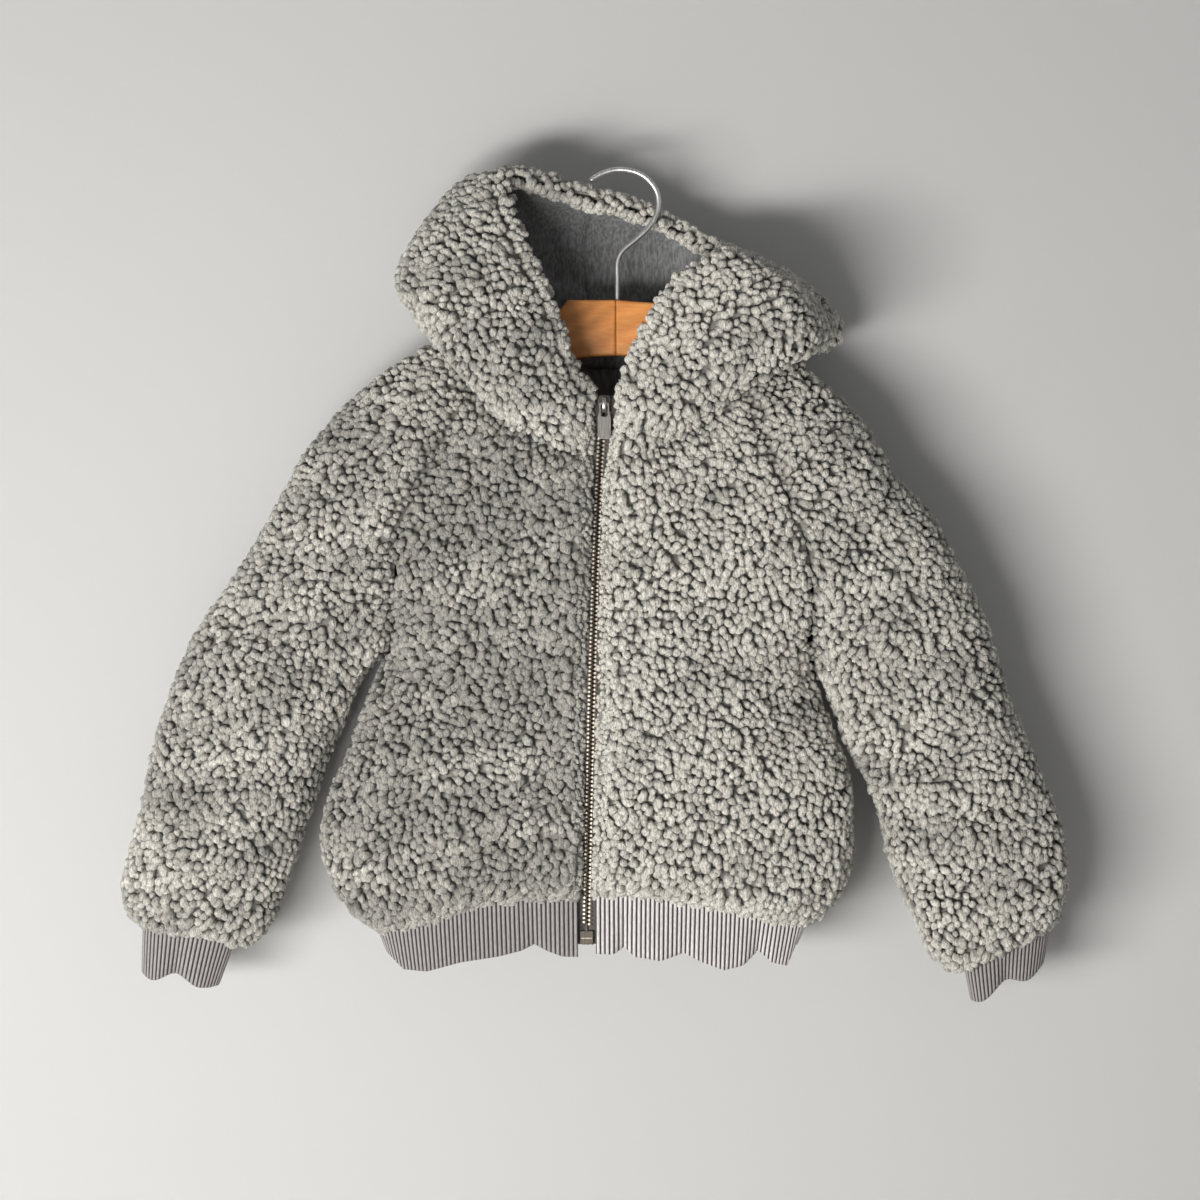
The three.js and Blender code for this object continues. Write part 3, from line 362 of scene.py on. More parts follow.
# The backing's dark grey-brown is painted shade: it shows only in the gaps between tufts, where shade falls.
BACKING = plain_yarn_material("fleece backing", 0.97, 900.0, 2.0, 0.6, (0.34, 0.325, 0.29), (0.20, 0.19, 0.17))
THREAD = plain_yarn_material("sewing thread", 0.8, 2500.0, 1.5, 0.3, (0.50, 0.50, 0.47), (0.32, 0.32, 0.30))
print("pile, backing and thread are ready")

# %% [markdown]
# ## The jacket's panels
# The tables are the jacket's own measures: where each seam lies, how wide the body and the sleeves
# are at each level, and five fold lines of the hood. They are the same numbers as the solids have.

# %% Body tables and surface
# Below the arms: share up, x right, x left, z right, z left, z middle, depth in front, depth behind.
BODY_SECTIONS = [
    (0.00, -166, 133, -520, -516, -497, 34, 28),
    (0.08, -178, 145, -512, -508, -489, 46, 34),
    (0.20, -190, 156, -494, -491, -474, 55, 38),
    (0.40, -200, 163, -458, -458, -448, 59, 41),
    (0.60, -196, 160, -424, -425, -420, 58, 41),
    (0.80, -179, 147, -378, -386, -391, 54, 39),
    (1.00, -160, 137, -333, -347, -362, 50, 37),
]
# Middle of the body above the arms: share up, z in front, depth in front, z behind, depth behind.
MIDDLE_LINE = [(0.0, -362, 50, -362, 37), (0.5, -280, 48, -249, 36), (1.0, -197, 44, -136, 32)]
# Raglan seams from the underarm to the neck: share up, x, y, z.
RAGLAN_SEAMS = {
    ("front", "right"): [
        (0.00, -160, 0, -333), (0.12, -152, -16, -316), (0.25, -151, -28, -294), (0.40, -151, -35, -268),
        (0.55, -147, -39, -242), (0.70, -135, -40, -218), (0.85, -118, -36, -184), (1.00, -98, -28, -147),
    ],
    ("front", "left"): [
        (0.00, 137, 0, -347), (0.12, 132, -16, -328), (0.25, 133, -28, -303), (0.40, 132, -35, -274),
        (0.55, 125, -39, -246), (0.70, 114, -40, -218), (0.85, 98, -36, -182), (1.00, 82, -28, -149),
    ],
    ("back", "right"): [
        (0.00, -160, 0, -333), (0.12, -150, 14, -314), (0.25, -146, 24, -290), (0.40, -140, 30, -262),
        (0.55, -130, 32, -232), (0.70, -115, 31, -196), (0.85, -98, 27, -158), (1.00, -78, 22, -118),
    ],
    ("back", "left"): [
        (0.00, 137, 0, -347), (0.12, 131, 14, -326), (0.25, 127, 24, -300), (0.40, 121, 30, -270),
        (0.55, 112, 32, -238), (0.70, 98, 31, -200), (0.85, 82, 27, -160), (1.00, 64, 22, -120),
    ],
}
BULGE = 0.7
BACK_MIDDLE_X = (-20.0, -8.0)
ZIP_TOP = -155.0
ZIP_BOTTOM = -528.0
ZIP_TOP_X = -8.0
ZIP_LEAN = 15.1
ZIP_START = 10.0
OPEN_HALF = (5.4, 7.0)
OUT = {"right": -1.0, "left": 1.0}


def zip_x(z):
    """x of the middle of the zip: it leans as the square root of the way down."""
    fall = np.maximum(0.0, ZIP_TOP - z)
    whole = ZIP_TOP - ZIP_BOTTOM + ZIP_START
    return ZIP_TOP_X - ZIP_LEAN * (np.sqrt((fall + ZIP_START) / whole) - math.sqrt(ZIP_START / whole))


def half_opening(z):
    """Half the gap between the two fronts, wider beside the slider."""
    return mix(OPEN_HALF[0], OPEN_HALF[1], ease((z + 222) / 28))


def body_surface(side, face, u, v):
    """Points of half a front or back: u from the middle (0) to the side or raglan seam (1), v from
    the hem seam (0) past the underarm (0.5) to the neck (1). Across goes as sin(u turn) / sin(turn)
    and depth as cos(u turn) to the power 0.7, so a row is part of a rounded arc."""
    u, v = np.broadcast_arrays(u, v)
    low = v <= 0.5
    t = np.where(low, 2 * v, 2 * v - 1)
    sections = np.asarray(BODY_SECTIONS, float)
    below = knot_weights(sections[:, 0], t) @ sections
    lines = np.asarray(MIDDLE_LINE, float)
    above = knot_weights(lines[:, 0], t) @ lines
    seam = place_on(RAGLAN_SEAMS[face, side], t)
    front = face == "front"
    sign = -1.0 if front else 1.0
    x_number, z_number = (1, 3) if side == "right" else (2, 4)
    middle_z = np.where(low, below[..., 5], above[..., 1] if front else above[..., 3])
    middle_y = sign * np.where(low, below[..., 6 if front else 7], above[..., 2 if front else 4])
    if front:
        middle_x = zip_x(middle_z) + OUT[side] * half_opening(middle_z)
    else:
        middle_x = mix(BACK_MIDDLE_X[0], BACK_MIDDLE_X[1], v)
    edge_x = np.where(low, below[..., x_number], seam[..., 0])
    edge_y = np.where(low, 0.0, seam[..., 1])
    edge_z = np.where(low, below[..., z_number], seam[..., 2])
    turn = np.where(low, math.pi / 2, mix(mix(math.pi / 2, 1.1, ease(3 * t)), 0.9, t))
    rise = np.where(low, mix(ease((u - 0.12) / 0.7), u ** 1.6, t), u ** mix(1.6, 1.8, t))
    across = np.sin(u * turn) / np.sin(turn)
    flat = np.maximum(0.0, np.cos(turn)) ** BULGE
    out = (np.maximum(0.0, np.cos(u * turn)) ** BULGE - flat) / (1 - flat)
    return np.stack([
        mix(middle_x, edge_x, across), mix(edge_y, middle_y, out), mix(middle_z, edge_z, rise),
    ], axis=-1)


def back_surface(w, v):
    """The back in one piece: w from the wearer's right (-1) to the left (1)."""
    w, v = np.broadcast_arrays(w, v)
    right = body_surface("right", "back", np.abs(w), v)
    left = body_surface("left", "back", np.abs(w), v)
    return np.where((w < 0)[..., None], right, left)


# %% Sleeve tables and surface
SHOULDER_NECK = {"right": (-97, -2, -110), "left": (84, -2, -113)}
# Share up, outer x, outer z, inner x, inner z, depth in front, depth behind, share turned into the seam.
SLEEVE_SECTIONS = {
    "right": [
        (0.00, -324, -514, -264, -531, 17, 15, 0), (0.05, -334, -507, -252, -529, 27, 23, 0),
        (0.12, -338, -492, -239, -512, 33, 29, 0), (0.22, -336, -470, -228, -484, 36, 32, 0),
        (0.36, -325, -430, -214, -446, 38, 34, 0), (0.50, -309, -372, -200, -409, 39, 35, 0),
        (0.62, -291, -322, -187, -378, 39, 34, 0), (0.72, -266, -281, -179, -354, 39, 33, 0),
        (0.80, -238, -234, -173, -342, 39, 32, 0.04), (0.87, -207, -187, -168, -337, 39, 30, 0.2),
        (0.92, -175, -150, -164.5, -334.5, 38, 28, 0.45), (0.96, -138, -125, -162, -333.5, 36, 26, 0.72),
        (1.00, -97, -110, -160, -333, 34, 25, 1),
    ],
    "left": [
        (0.00, 301, -519, 240, -545, 17, 15, 0), (0.05, 306, -510, 227, -545, 27, 23, 0),
        (0.12, 309, -494, 214, -531, 33, 29, 0), (0.22, 306, -472, 204, -506, 36, 32, 0),
        (0.36, 295, -434, 191, -474, 38, 34, 0), (0.50, 279, -385, 179, -443, 39, 35, 0),
        (0.62, 262, -335, 168, -412, 39, 34, 0), (0.72, 240, -287, 156, -384, 39, 33, 0),
        (0.80, 212, -235, 148, -364, 39, 32, 0.04), (0.87, 182, -191, 143, -354, 39, 30, 0.2),
        (0.92, 154, -159, 140, -350, 38, 28, 0.45), (0.96, 121, -131, 138.5, -348, 36, 26, 0.72),
        (1.00, 84, -113, 137, -347, 34, 25, 1),
    ],
}
RAGLAN_STEPS = 9.0
NECK_STEPS = 4.0
RING_STEPS = 2 * RAGLAN_STEPS + NECK_STEPS


def sleeve_neck(side, s):
    """The sleeve's top along the neck: from the front raglan to the back one, lifted by sin(pi s)."""
    start = place_on(RAGLAN_SEAMS["front", side], 1.0)
    end = place_on(RAGLAN_SEAMS["back", side], 1.0)
    lift = np.asarray(SHOULDER_NECK[side], float) - (start + end) / 2
    s = np.asarray(s, float)[..., None]
    return start + (end - start) * s + lift * np.sin(math.pi * s)


def arm_loop(side, i):
    """The seam round a sleeve's top, i counting from the underarm up the front, over and down the back."""
    i = np.asarray(i, float)
    front = place_on(RAGLAN_SEAMS["front", side], np.clip(i / RAGLAN_STEPS, 0, 1))
    over = sleeve_neck(side, np.clip((i - RAGLAN_STEPS) / NECK_STEPS, 0, 1))
    back = place_on(RAGLAN_SEAMS["back", side], np.clip((RING_STEPS - i) / RAGLAN_STEPS, 0, 1))
    in_front = (i <= RAGLAN_STEPS)[..., None]
    behind = (i >= RAGLAN_STEPS + NECK_STEPS)[..., None]
    return np.where(in_front, front, np.where(behind, back, over))


def ring_point(section, i):
    """A flat rounded section: x and z swing between the inner and outer edge, y is depth sin^0.8."""
    angle = math.pi - 2 * math.pi * i / RING_STEPS
    share = (1 + np.cos(angle)) / 2
    depth = np.where(i < RING_STEPS / 2, -section[..., 5], section[..., 6])
    return np.stack([
        mix(section[..., 3], section[..., 1], share), depth * np.abs(np.sin(angle)) ** 0.8,
        mix(section[..., 4], section[..., 2], share),
    ], axis=-1)


def sleeve_surface(side, i, v):
    """Points of a sleeve: i round the arm, v from the cuff seam (0) to the raglan seam (1)."""
    i, v = np.broadcast_arrays(np.asarray(i, float) % RING_STEPS, v)
    table = np.asarray(SLEEVE_SECTIONS[side], float)
    section = knot_weights(table[:, 0], v) @ table
    turned = arm_loop(side, i) - ring_point(np.broadcast_to(table[-1], section.shape), i)
    return ring_point(section, i) + turned * section[..., 7:8]


# %% Hood table and surface
# Fold lines at a place along the neck seam, from the zip (0) round the back (15) to the zip (30):
# the place, then x, y, z of the low, belly, high and rim points.
HOOD_LINES = [
    (0, -16, -47, -186, -15.5, -49, -176, -15, -50, -165, -15, -49, -154),
    (2, -52, -53, -172, -48, -58, -156, -40, -56, -143, -29, -47, -136),
    (4, -88, -54, -150, -85, -63, -126, -67, -59, -107, -43, -46, -97),
    (6, -117, -46, -124, -117, -59, -96, -91, -56, -74, -60, -43, -61),
    (8, -137, -20, -99, -144, -30, -70, -112, -37, -42, -73, -32, -31),
    (10, -124, 20, -100, -149, 6, -70, -123, -6, -28, -80, -19, -4),
    (12, -96, 38, -106, -124, 33, -62, -102, 14, -8, -68, -11, 3),
    (14, -42, 45, -108, -56, 46, -62, -45, 24, -18, -26, -6, -9),
    (16, 8, 46, -108, 8, 48, -64, 7, 34, -26, 4, 4, -15),
    (18, 50, 46, -112, 60, 49, -74, 48, 40, -40, 34, 13, -27),
    (20, 96, 42, -122, 116, 47, -92, 98, 36, -62, 58, 11, -40),
    (22, 128, 34, -127, 155, 22, -106, 124, 10, -72, 78, -4, -51),
    (23, 119, 5, -120, 146, -10, -112, 120, -24, -77, 80, -27, -54),
    (24, 102, -42, -141, 130, -44, -120, 112, -57, -84, 73, -48, -58),
    (26, 80, -48, -150, 92, -61, -128, 80, -65, -100, 42, -53, -78),
    (28, 46, -55, -168, 50, -63, -147, 40, -61, -129, 17, -51, -116),
    (30, -3.5, -47, -186, -2, -49, -176, -1.5, -50, -165, -1, -49, -155),
]
HOOD_KNOTS = (0.0, 0.27, 0.55, 0.8, 1.0)
HOOD_MIDDLE = 15.0


def neck_seam(n):
    """The neck seam: right front, right sleeve, back, left sleeve, left front, joined end to end."""
    n = np.asarray(n, float)
    parts = [
        body_surface("right", "front", np.clip(n / 6, 0, 1), 1.0),
        sleeve_neck("right", np.clip((n - 6) / 4, 0, 1)),
        back_surface(np.clip((n - 15) / 5, -1, 1), 1.0),
        sleeve_neck("left", np.clip((24 - n) / 4, 0, 1)),
        body_surface("left", "front", np.clip((30 - n) / 6, 0, 1), 1.0),
    ]
    which = np.searchsorted([6, 10, 20, 24], n, side="left")
    return np.choose(which[..., None], parts)


def hood_surface(n, v):
    """Points of the hood: n along the neck seam, v from the seam (0) over the folds to the rim (1).
    n is one row of places and v one column, and the answer is their grid."""
    n = np.asarray(n, float).ravel()
    v = np.asarray(v, float).ravel()
    table = np.asarray(HOOD_LINES, float)
    folds = (knot_weights(table[:, 0], n) @ table[:, 1:]).reshape(len(n), 4, 3)
    lines = np.concatenate([neck_seam(n)[:, None, :], folds], axis=1)
    return np.einsum("rk,ckd->rcd", knot_weights(HOOD_KNOTS, v), lines)


print("neck seam from", np.round(neck_seam(0.0)), "to", np.round(neck_seam(30.0)))

# %% [markdown]
# ## Fleece panels
# The fleece is a thin knitted backing with loops of yarn curled on its outside. The solids have the
# whole thickness, so the backing lies a few millimetres inside them and the tufts grow out to them.
# Each panel is worked out on a fine grid, with its normals from the two directions of the grid.

# %% Panels on fine grids
BACKING_DEPTH = 4.2          # from the solid's face in to the backing
BACKING_THICK = 1.4
GRID_STEP = 6.5              # about this many millimetres between grid lines


class Panel:
    """A sewn piece: its grid of points, outward normals and the way up along the columns."""

    def __init__(self, name, points, sign, closed=False):
        self.name = name
        self.sign = sign
        self.closed = closed
        self.points = points
        if closed:
            padded = np.concatenate([points[:, -1:], points, points[:, :1]], axis=1)
            across = np.gradient(padded, axis=1)[:, 1:-1]
        else:
            across = np.gradient(points, axis=1)
        up = np.gradient(points, axis=0)
        self.normals = unit(sign * np.cross(across, up))
        self.up = unit(up)
        self.across = unit(across)


def steps(low, high, length):
    """Evenly spaced numbers from low to high, about a grid step apart over a length in millimetres."""
    return np.linspace(low, high, max(4, int(round(length / GRID_STEP))) + 1)


def front_panel(side):
    u = 1 - (1 - steps(0, 1, 190)[None, :]) ** 1.25
    v = steps(0, 1, 370)[:, None]
    return Panel(f"front {side}", body_surface(side, "front", u, v), OUT[side])


def back_panel():
    w = steps(-1, 1, 380)[None, :]
    w = np.sign(w) * (1 - (1 - np.abs(w)) ** 1.25)
    return Panel("back", back_surface(w, steps(0, 1, 400)[:, None]), -1)


def sleeve_panel(side):
    around = np.arange(0, RING_STEPS, 0.4)[None, :]
    v = steps(0, 1, 420)[:, None]
    return Panel(f"sleeve {side}", sleeve_surface(side, around, v), OUT[side], closed=True)


def hood_panel(side):
    n = np.linspace(0, HOOD_MIDDLE, 76) + (0 if side == "right" else HOOD_MIDDLE)
    return Panel(f"hood {side}", hood_surface(n, steps(0, 1, 190)), -1)


# %% [markdown]
# ## Creases
# The cloth hangs almost flat, with soft troughs where the arms turn and where the body gives way.
# Each trough is a line on the front of the jacket; its depth falls off beside it like a bell.

# %% Crease lines
# Ends x, z, x, z in millimetres, depth, and half width.
FRONT_CREASES = [
    (-163, -332, -112, -372, 8.0, 14), (-150, -352, -135, -460, 5.0, 16),
    (-112, -240, -84, -330, 5.0, 16), (-58, -250, -44, -440, 6.0, 15),
    (-128, -300, -92, -400, 4.0, 14), (-100, -430, -60, -480, 4.5, 15),
    (141, -348, 96, -362, 8.0, 14), (105, -265, 22, -385, 6.5, 17),
    (128, -392, 60, -440, 5.0, 16), (60, -220, 40, -300, 5.0, 15),
    (146, -440, 100, -480, 4.5, 14), (30, -430, 20, -490, 4.5, 13),
]
SLEEVE_CREASES = [
    (-182, -340, -268, -300, 7.5, 14), (-190, -372, -262, -388, 6.5, 13),
    (-205, -415, -300, -440, 5.0, 15), (-235, -250, -180, -300, 5.5, 15),
    (-242, -480, -318, -486, 4.0, 11), (-172, -225, -205, -280, 4.5, 14),
    (156, -352, 232, -318, 7.5, 14), (168, -392, 240, -400, 6.5, 13),
    (190, -440, 272, -452, 5.0, 15), (205, -260, 160, -310, 5.5, 15),
    (222, -498, 292, -494, 4.0, 11), (146, -215, 180, -268, 4.5, 14),
]
SWELL_WAVES = 7
SWELL_LENGTH = 95.0
SWELL_DEPTH = 2.4


def bell_lines(points, lines):
    """Sum over the lines of depth times exp(-(distance / half width) squared), seen from the front."""
    flat = points[..., None, [0, 2]]
    table = np.asarray(lines, float)
    start, end = table[:, 0:2], table[:, 2:4]
    along = end - start
    share = np.clip(np.sum((flat - start) * along, axis=-1) / np.sum(along * along, axis=-1), 0, 1)
    away = np.linalg.norm(flat - start - share[..., None] * along, axis=-1)
    fade = ease(4 * share + 0.25) * ease(4 * (1 - share) + 0.25)
    return np.sum(table[:, 4] * fade * np.exp(-(away / table[:, 5]) ** 2), axis=-1)


def swell(points, length, seed, waves=SWELL_WAVES):
    """An even random roll between about -1 and 1: the mean of sine waves in random directions."""
    rng = np.random.default_rng(seed)
    ways = unit(rng.normal(size=(waves, 3))) * (2 * math.pi / length) * rng.uniform(0.6, 1.5, (waves, 1))
    return np.sin(points @ ways.T + rng.uniform(0, 2 * math.pi, waves)).mean(axis=-1) * 2.2


def relief(panel):
    """How far each point lies inside the smooth form, in millimetres."""
    depth = SWELL_DEPTH * swell(panel.points, SWELL_LENGTH, SEED)
    in_front = ease((-panel.points[..., 1]) / 14)
    if panel.name.startswith("front"):
        depth = depth + bell_lines(panel.points, FRONT_CREASES) * in_front
    if panel.name.startswith("sleeve"):
        depth = depth + bell_lines(panel.points, SLEEVE_CREASES) * mix(0.35, 1.0, in_front)
    if panel.name.startswith("hood"):
        depth = depth * 0.6
    return depth


# %% [markdown]
# ## Seams
# At a seam the pile is caught in the stitches, so it is shorter there and the cloth dips.
# The dip is worked out from the distance to each sewn edge, measured along the grid.

# %% Distance to sewn edges
SEWN = {
    "front right": {"top", "final"}, "front left": {"top", "final"}, "back": {"top", "first", "final"},
    "sleeve right": {"top"}, "sleeve left": {"top"},
    "hood right": {"bottom", "final"}, "hood left": {"bottom", "first"},
}
FREE = {
    "front right": {"first", "bottom"}, "front left": {"first", "bottom"}, "back": {"bottom"},
    "sleeve right": {"bottom"}, "sleeve left": {"bottom"},
    "hood right": {"top", "first"}, "hood left": {"top", "final"},
}
SEAM_WIDTH = 4.5
SEAM_DIP = 1.3


def running_length(points, axis):
    """Length along the grid from its first line to each point."""
    step = np.linalg.norm(np.diff(points, axis=axis), axis=-1)
    total = np.cumsum(step, axis=axis)
    zero = np.zeros_like(np.take(total, [0], axis=axis))
    return np.concatenate([zero, total], axis=axis)


def edge_distance(panel, edges):
    """Distance along the grid from each point to the nearest of some edges."""
    up, across = running_length(panel.points, 0), running_length(panel.points, 1)
    away = {
        "bottom": up, "top": up[-1:] - up, "first": across, "final": across[:, -1:] - across,
    }
    return np.min([away[edge] for edge in edges], axis=0)


# %% Make the panels
panels = [
    front_panel("right"), front_panel("left"), back_panel(), sleeve_panel("right"), sleeve_panel("left"),
    hood_panel("right"), hood_panel("left"),
]


def seam_points(panel):
    """Points and normals of all sewn edges of a panel."""
    picks = {"bottom": (0, slice(None)), "top": (-1, slice(None)), "first": (slice(None), 0),
             "final": (slice(None), -1)}
    edges = [picks[edge] for edge in sorted(SEWN[panel.name])]
    return (np.concatenate([panel.points[e] for e in edges]), np.concatenate([panel.normals[e] for e in edges]))


def nearest(points, others):
    """For each point the number of the nearest of the others, and its distance."""
    away = np.linalg.norm(points[:, None, :] - others[None, :, :], axis=-1)
    return away.argmin(axis=1), away.min(axis=1)


# At a seam both pieces take the mean of their normals, so that their cloth meets there.
SEAM_REACH = 4.0
SEAM_BLEND = 11.0
seams = {panel.name: seam_points(panel) for panel in panels}
for panel in panels:
    own_points, own_normals = seams[panel.name]
    joined = own_normals.copy()
    for name, (points, normals) in seams.items():
        if name != panel.name:
            number, away = nearest(own_points, points)
            joined += normals[number] * np.clip(1 - away / SEAM_REACH, 0, 1)[:, None]
    joined = unit(joined)
    flat = panel.points.reshape(-1, 3)
    number, away = nearest(flat, own_points)
    weight = np.exp(-(away / SEAM_BLEND) ** 2)[:, None]
    blended = unit(mix(panel.normals.reshape(-1, 3), joined[number], weight))
    panel.normals = blended.reshape(panel.normals.shape)

for panel in panels:
    panel.seam = np.exp(-(edge_distance(panel, SEWN[panel.name]) / SEAM_WIDTH) ** 2)
    panel.free = edge_distance(panel, FREE[panel.name])
    panel.depth = relief(panel) + SEAM_DIP * panel.seam
    panel.envelope = panel.points - panel.normals * panel.depth[..., None]
    outwards = dot(panel.normals, panel.points - panel.points.mean(axis=(0, 1))).mean()
    print(panel.name, panel.points.shape[:2], "outward", round(float(outwards), 1))

# %% [markdown]
# ## Tufts
# Points are spread over each panel so that none is nearer than a tuft's width to another, as the
# loops of yarn stand. Each grows a closed, curled drop: it rises from the backing, bends over along
# the nap and ends round. Every tuft has its own size, turn and lumps.

# %% Spread points over a surface
TUFT_GAP = 3.85              # least distance between two tufts
CANDIDATES = 9               # random places tried for each gap's square


def close_pairs(points, gap):
    """Pairs of points less than a gap apart. Space is cut into cubes as wide as the gap, sorted by
    number, and each point is compared with those in its own cube and the 26 around it."""
    cube = np.floor(points / gap).astype(np.int64)
    cube -= cube.min(axis=0) - 1
    wide = cube.max(axis=0) + 2
    key = (cube[:, 0] * wide[1] + cube[:, 1]) * wide[2] + cube[:, 2]
    order = np.argsort(key, kind="stable")
    ordered = key[order]
    every = np.arange(len(points))
    first, second = [], []
    for step in np.ndindex(3, 3, 3):
        away = (np.array(step) - 1) @ np.array([wide[1] * wide[2], wide[2], 1])
        low = np.searchsorted(ordered, key + away, "left")
        count = np.searchsorted(ordered, key + away, "right") - low
        a = np.repeat(every, count)
        turn = np.arange(count.sum()) - np.repeat(np.cumsum(count) - count, count)
        b = order[np.repeat(low, count) + turn]
        near = (a != b) & (np.linalg.norm(points[a] - points[b], axis=1) < gap)
        first.append(a[near])
        second.append(b[near])
    return np.concatenate(first), np.concatenate(second)


def thin_out(points, gap):
    """Which points to keep, so that they are a gap apart and no more would fit: in each round every
    open point that comes before all its open neighbours is kept, and its neighbours drop out."""
    a, b = close_pairs(points, gap)
    still_open = np.ones(len(points), bool)
    kept = np.zeros(len(points), bool)
    while still_open.any():
        blocked = np.zeros(len(points), bool)
        blocked[a[still_open[a] & still_open[b] & (b < a)]] = True
        new = still_open & ~blocked
        kept |= new
        still_open &= ~new
        still_open[b[new[a]]] = False
    return kept


def spread(layers, gap, rng, closed=False):
    """Random places over a grid, thinned to a gap. layers are arrays on the grid, points first; a
    place is drawn in each cell as often as its area asks, and every layer is blended there."""
    if closed:
        layers = [np.concatenate([layer, layer[:, :1]], axis=1) for layer in layers]
    points = layers[0]
    one = points[1:, 1:] - points[:-1, :-1]
    other = points[1:, :-1] - points[:-1, 1:]
    area = np.linalg.norm(np.cross(one, other), axis=-1) / 2
    total = int(area.sum() / gap ** 2 * CANDIDATES)
    cell = rng.choice(area.size, size=total, p=(area / area.sum()).ravel())
    k, i = np.unravel_index(cell, area.shape)
    s, t = rng.random((2, total, 1))
    placed = []
    for layer in layers:
        low = mix(layer[k, i], layer[k, i + 1], s)
        high = mix(layer[k + 1, i], layer[k + 1, i + 1], s)
        placed.append(mix(low, high, t))
    kept = thin_out(placed[0], gap)
    return [layer[kept] for layer in placed]


# %% Grow tufts
TUFT_SIDES = 6
TUFT_RINGS = np.array([0.22, 0.62, 0.90])    # places of the rings along a tuft
TUFT_GIRTH = np.array([0.86, 1.0, 0.70])     # radius there, as a share of the widest
TUFT_RISE = 4.3
TUFT_REACH = 6.0
TUFT_RADIUS = 3.6


def tuft_line(s, rise, reach):
    """Height and reach along a tuft: height goes as sin(0.62 pi s) and reach as s to the power 1.5."""
    height = rise * np.sin(math.pi * 0.62 * s)
    return height, reach * s ** 1.5


def grow_tufts(name, points, normals, nap, seam, matted, size, tone, rng):
    """A mesh of tufts: rings of six points round a curled line, with a point at root and tip."""
    count = len(points)
    nap = unit(nap - normals * dot(nap, normals))
    side = np.cross(normals, nap)
    swing = 0.9 * swell(points, 70.0, SEED + 1) + rng.normal(0, 0.3, count)
    way = nap * np.cos(swing)[:, None] + side * np.sin(swing)[:, None]
    side = np.cross(normals, way)
    grown = size * rng.uniform(0.85, 1.15, (count, 1)) * (1 - 0.28 * seam) * (1 - 0.06 * matted)
    reach = TUFT_REACH * grown * rng.uniform(0.55, 1.35, (count, 1))
    rise = TUFT_RISE * grown * rng.uniform(0.92, 1.1, (count, 1))
    curl = rng.normal(0, 1.3, (count, 1)) * grown
    s = np.concatenate([[-0.06], TUFT_RINGS, [1.0]])[None, :]
    height, far = tuft_line(np.maximum(s, 0), rise, reach)
    height = height + np.minimum(s, 0) * 20
    line = (points[:, None, :] + normals[:, None, :] * height[..., None] + way[:, None, :] * far[..., None]
            + side[:, None, :] * (curl * np.maximum(s, 0) ** 2)[..., None])
    ahead = unit(np.gradient(line, axis=1))[:, 1:-1]
    level = unit(side[:, None, :] - ahead * dot(side[:, None, :], ahead))
    over = np.cross(ahead, level)
    angle = 2 * math.pi * np.arange(TUFT_SIDES) / TUFT_SIDES
    radius = TUFT_RADIUS * (grown * (1 + 0.16 * matted))[:, :, None] * TUFT_GIRTH[None, :, None]
    radius = radius * rng.uniform(0.66, 1.24, (count, len(TUFT_RINGS), TUFT_SIDES))
    rings = (line[:, 1:-1, None, :]
             + level[:, :, None, :] * (radius * np.cos(angle) * 0.92)[..., None]
             + over[:, :, None, :] * (radius * np.sin(angle) * 0.80)[..., None])
    body = rings.reshape(count, -1, 3)
    all_points = np.concatenate([line[:, :1], body, line[:, -1:]], axis=1)
    each = all_points.shape[1]
    quads = grid_quads(len(TUFT_RINGS), TUFT_SIDES, closed=True) + 1
    ring = np.arange(TUFT_SIDES)
    root = np.stack([np.zeros(TUFT_SIDES, int), (ring + 1) % TUFT_SIDES + 1, ring + 1], axis=-1)
    last = each - 1 - TUFT_SIDES
    tip = np.stack([np.full(TUFT_SIDES, each - 1), ring + last, (ring + 1) % TUFT_SIDES + last], axis=-1)
    shift = (np.arange(count) * each)[:, None, None]
    mesh = mesh_from(name, all_points.reshape(-1, 3), (quads[None] + shift).reshape(-1, 4),
                     (np.concatenate([root, tip])[None] + shift).reshape(-1, 3))
    # Colour: a point's height above the backing picks the painted shade of the roots in the crevices. Matted pile,
    # lying flat, gets less of it; pile at a seam, down in the dip, gets more: painted shade.
    above = dot(all_points - points[:, None, :], normals[:, None, :])[..., 0]
    lifted = above / (grown * (TUFT_RISE + 0.75 * TUFT_RADIUS))
    colours = np.zeros((count, each, 3))
    colours[..., 0] = np.clip(mix(lifted, 0.88, 0.75 * matted), 0, 1) * (1 - 0.2 * seam)
    # Second number: the piece's painted light and shade, with a slow roll and a random step for each tuft.
    colours[..., 1] = np.clip(tone + 0.35 * swell(points, 55.0, SEED + 2) + rng.normal(0, 0.15, count), 0, 1)[:, None]
    colours[..., 2] = seam
    colour_points(mesh, "pile", colours.reshape(-1, 3))
    return mesh


# %% [markdown]
# ## Rolled edges
# Where the fleece ends, at the zip, the hem, the cuffs and the hood's rim, it turns in and its pile
# wraps the edge. A strip of the same surface carries on round a small roll, for tufts to stand on.

# %% Strips that roll round a free edge
ROLL_RADIUS = 2.1
ROLL_ROWS = 7
LEAD = 6.0                   # the strip starts this far inside the edge
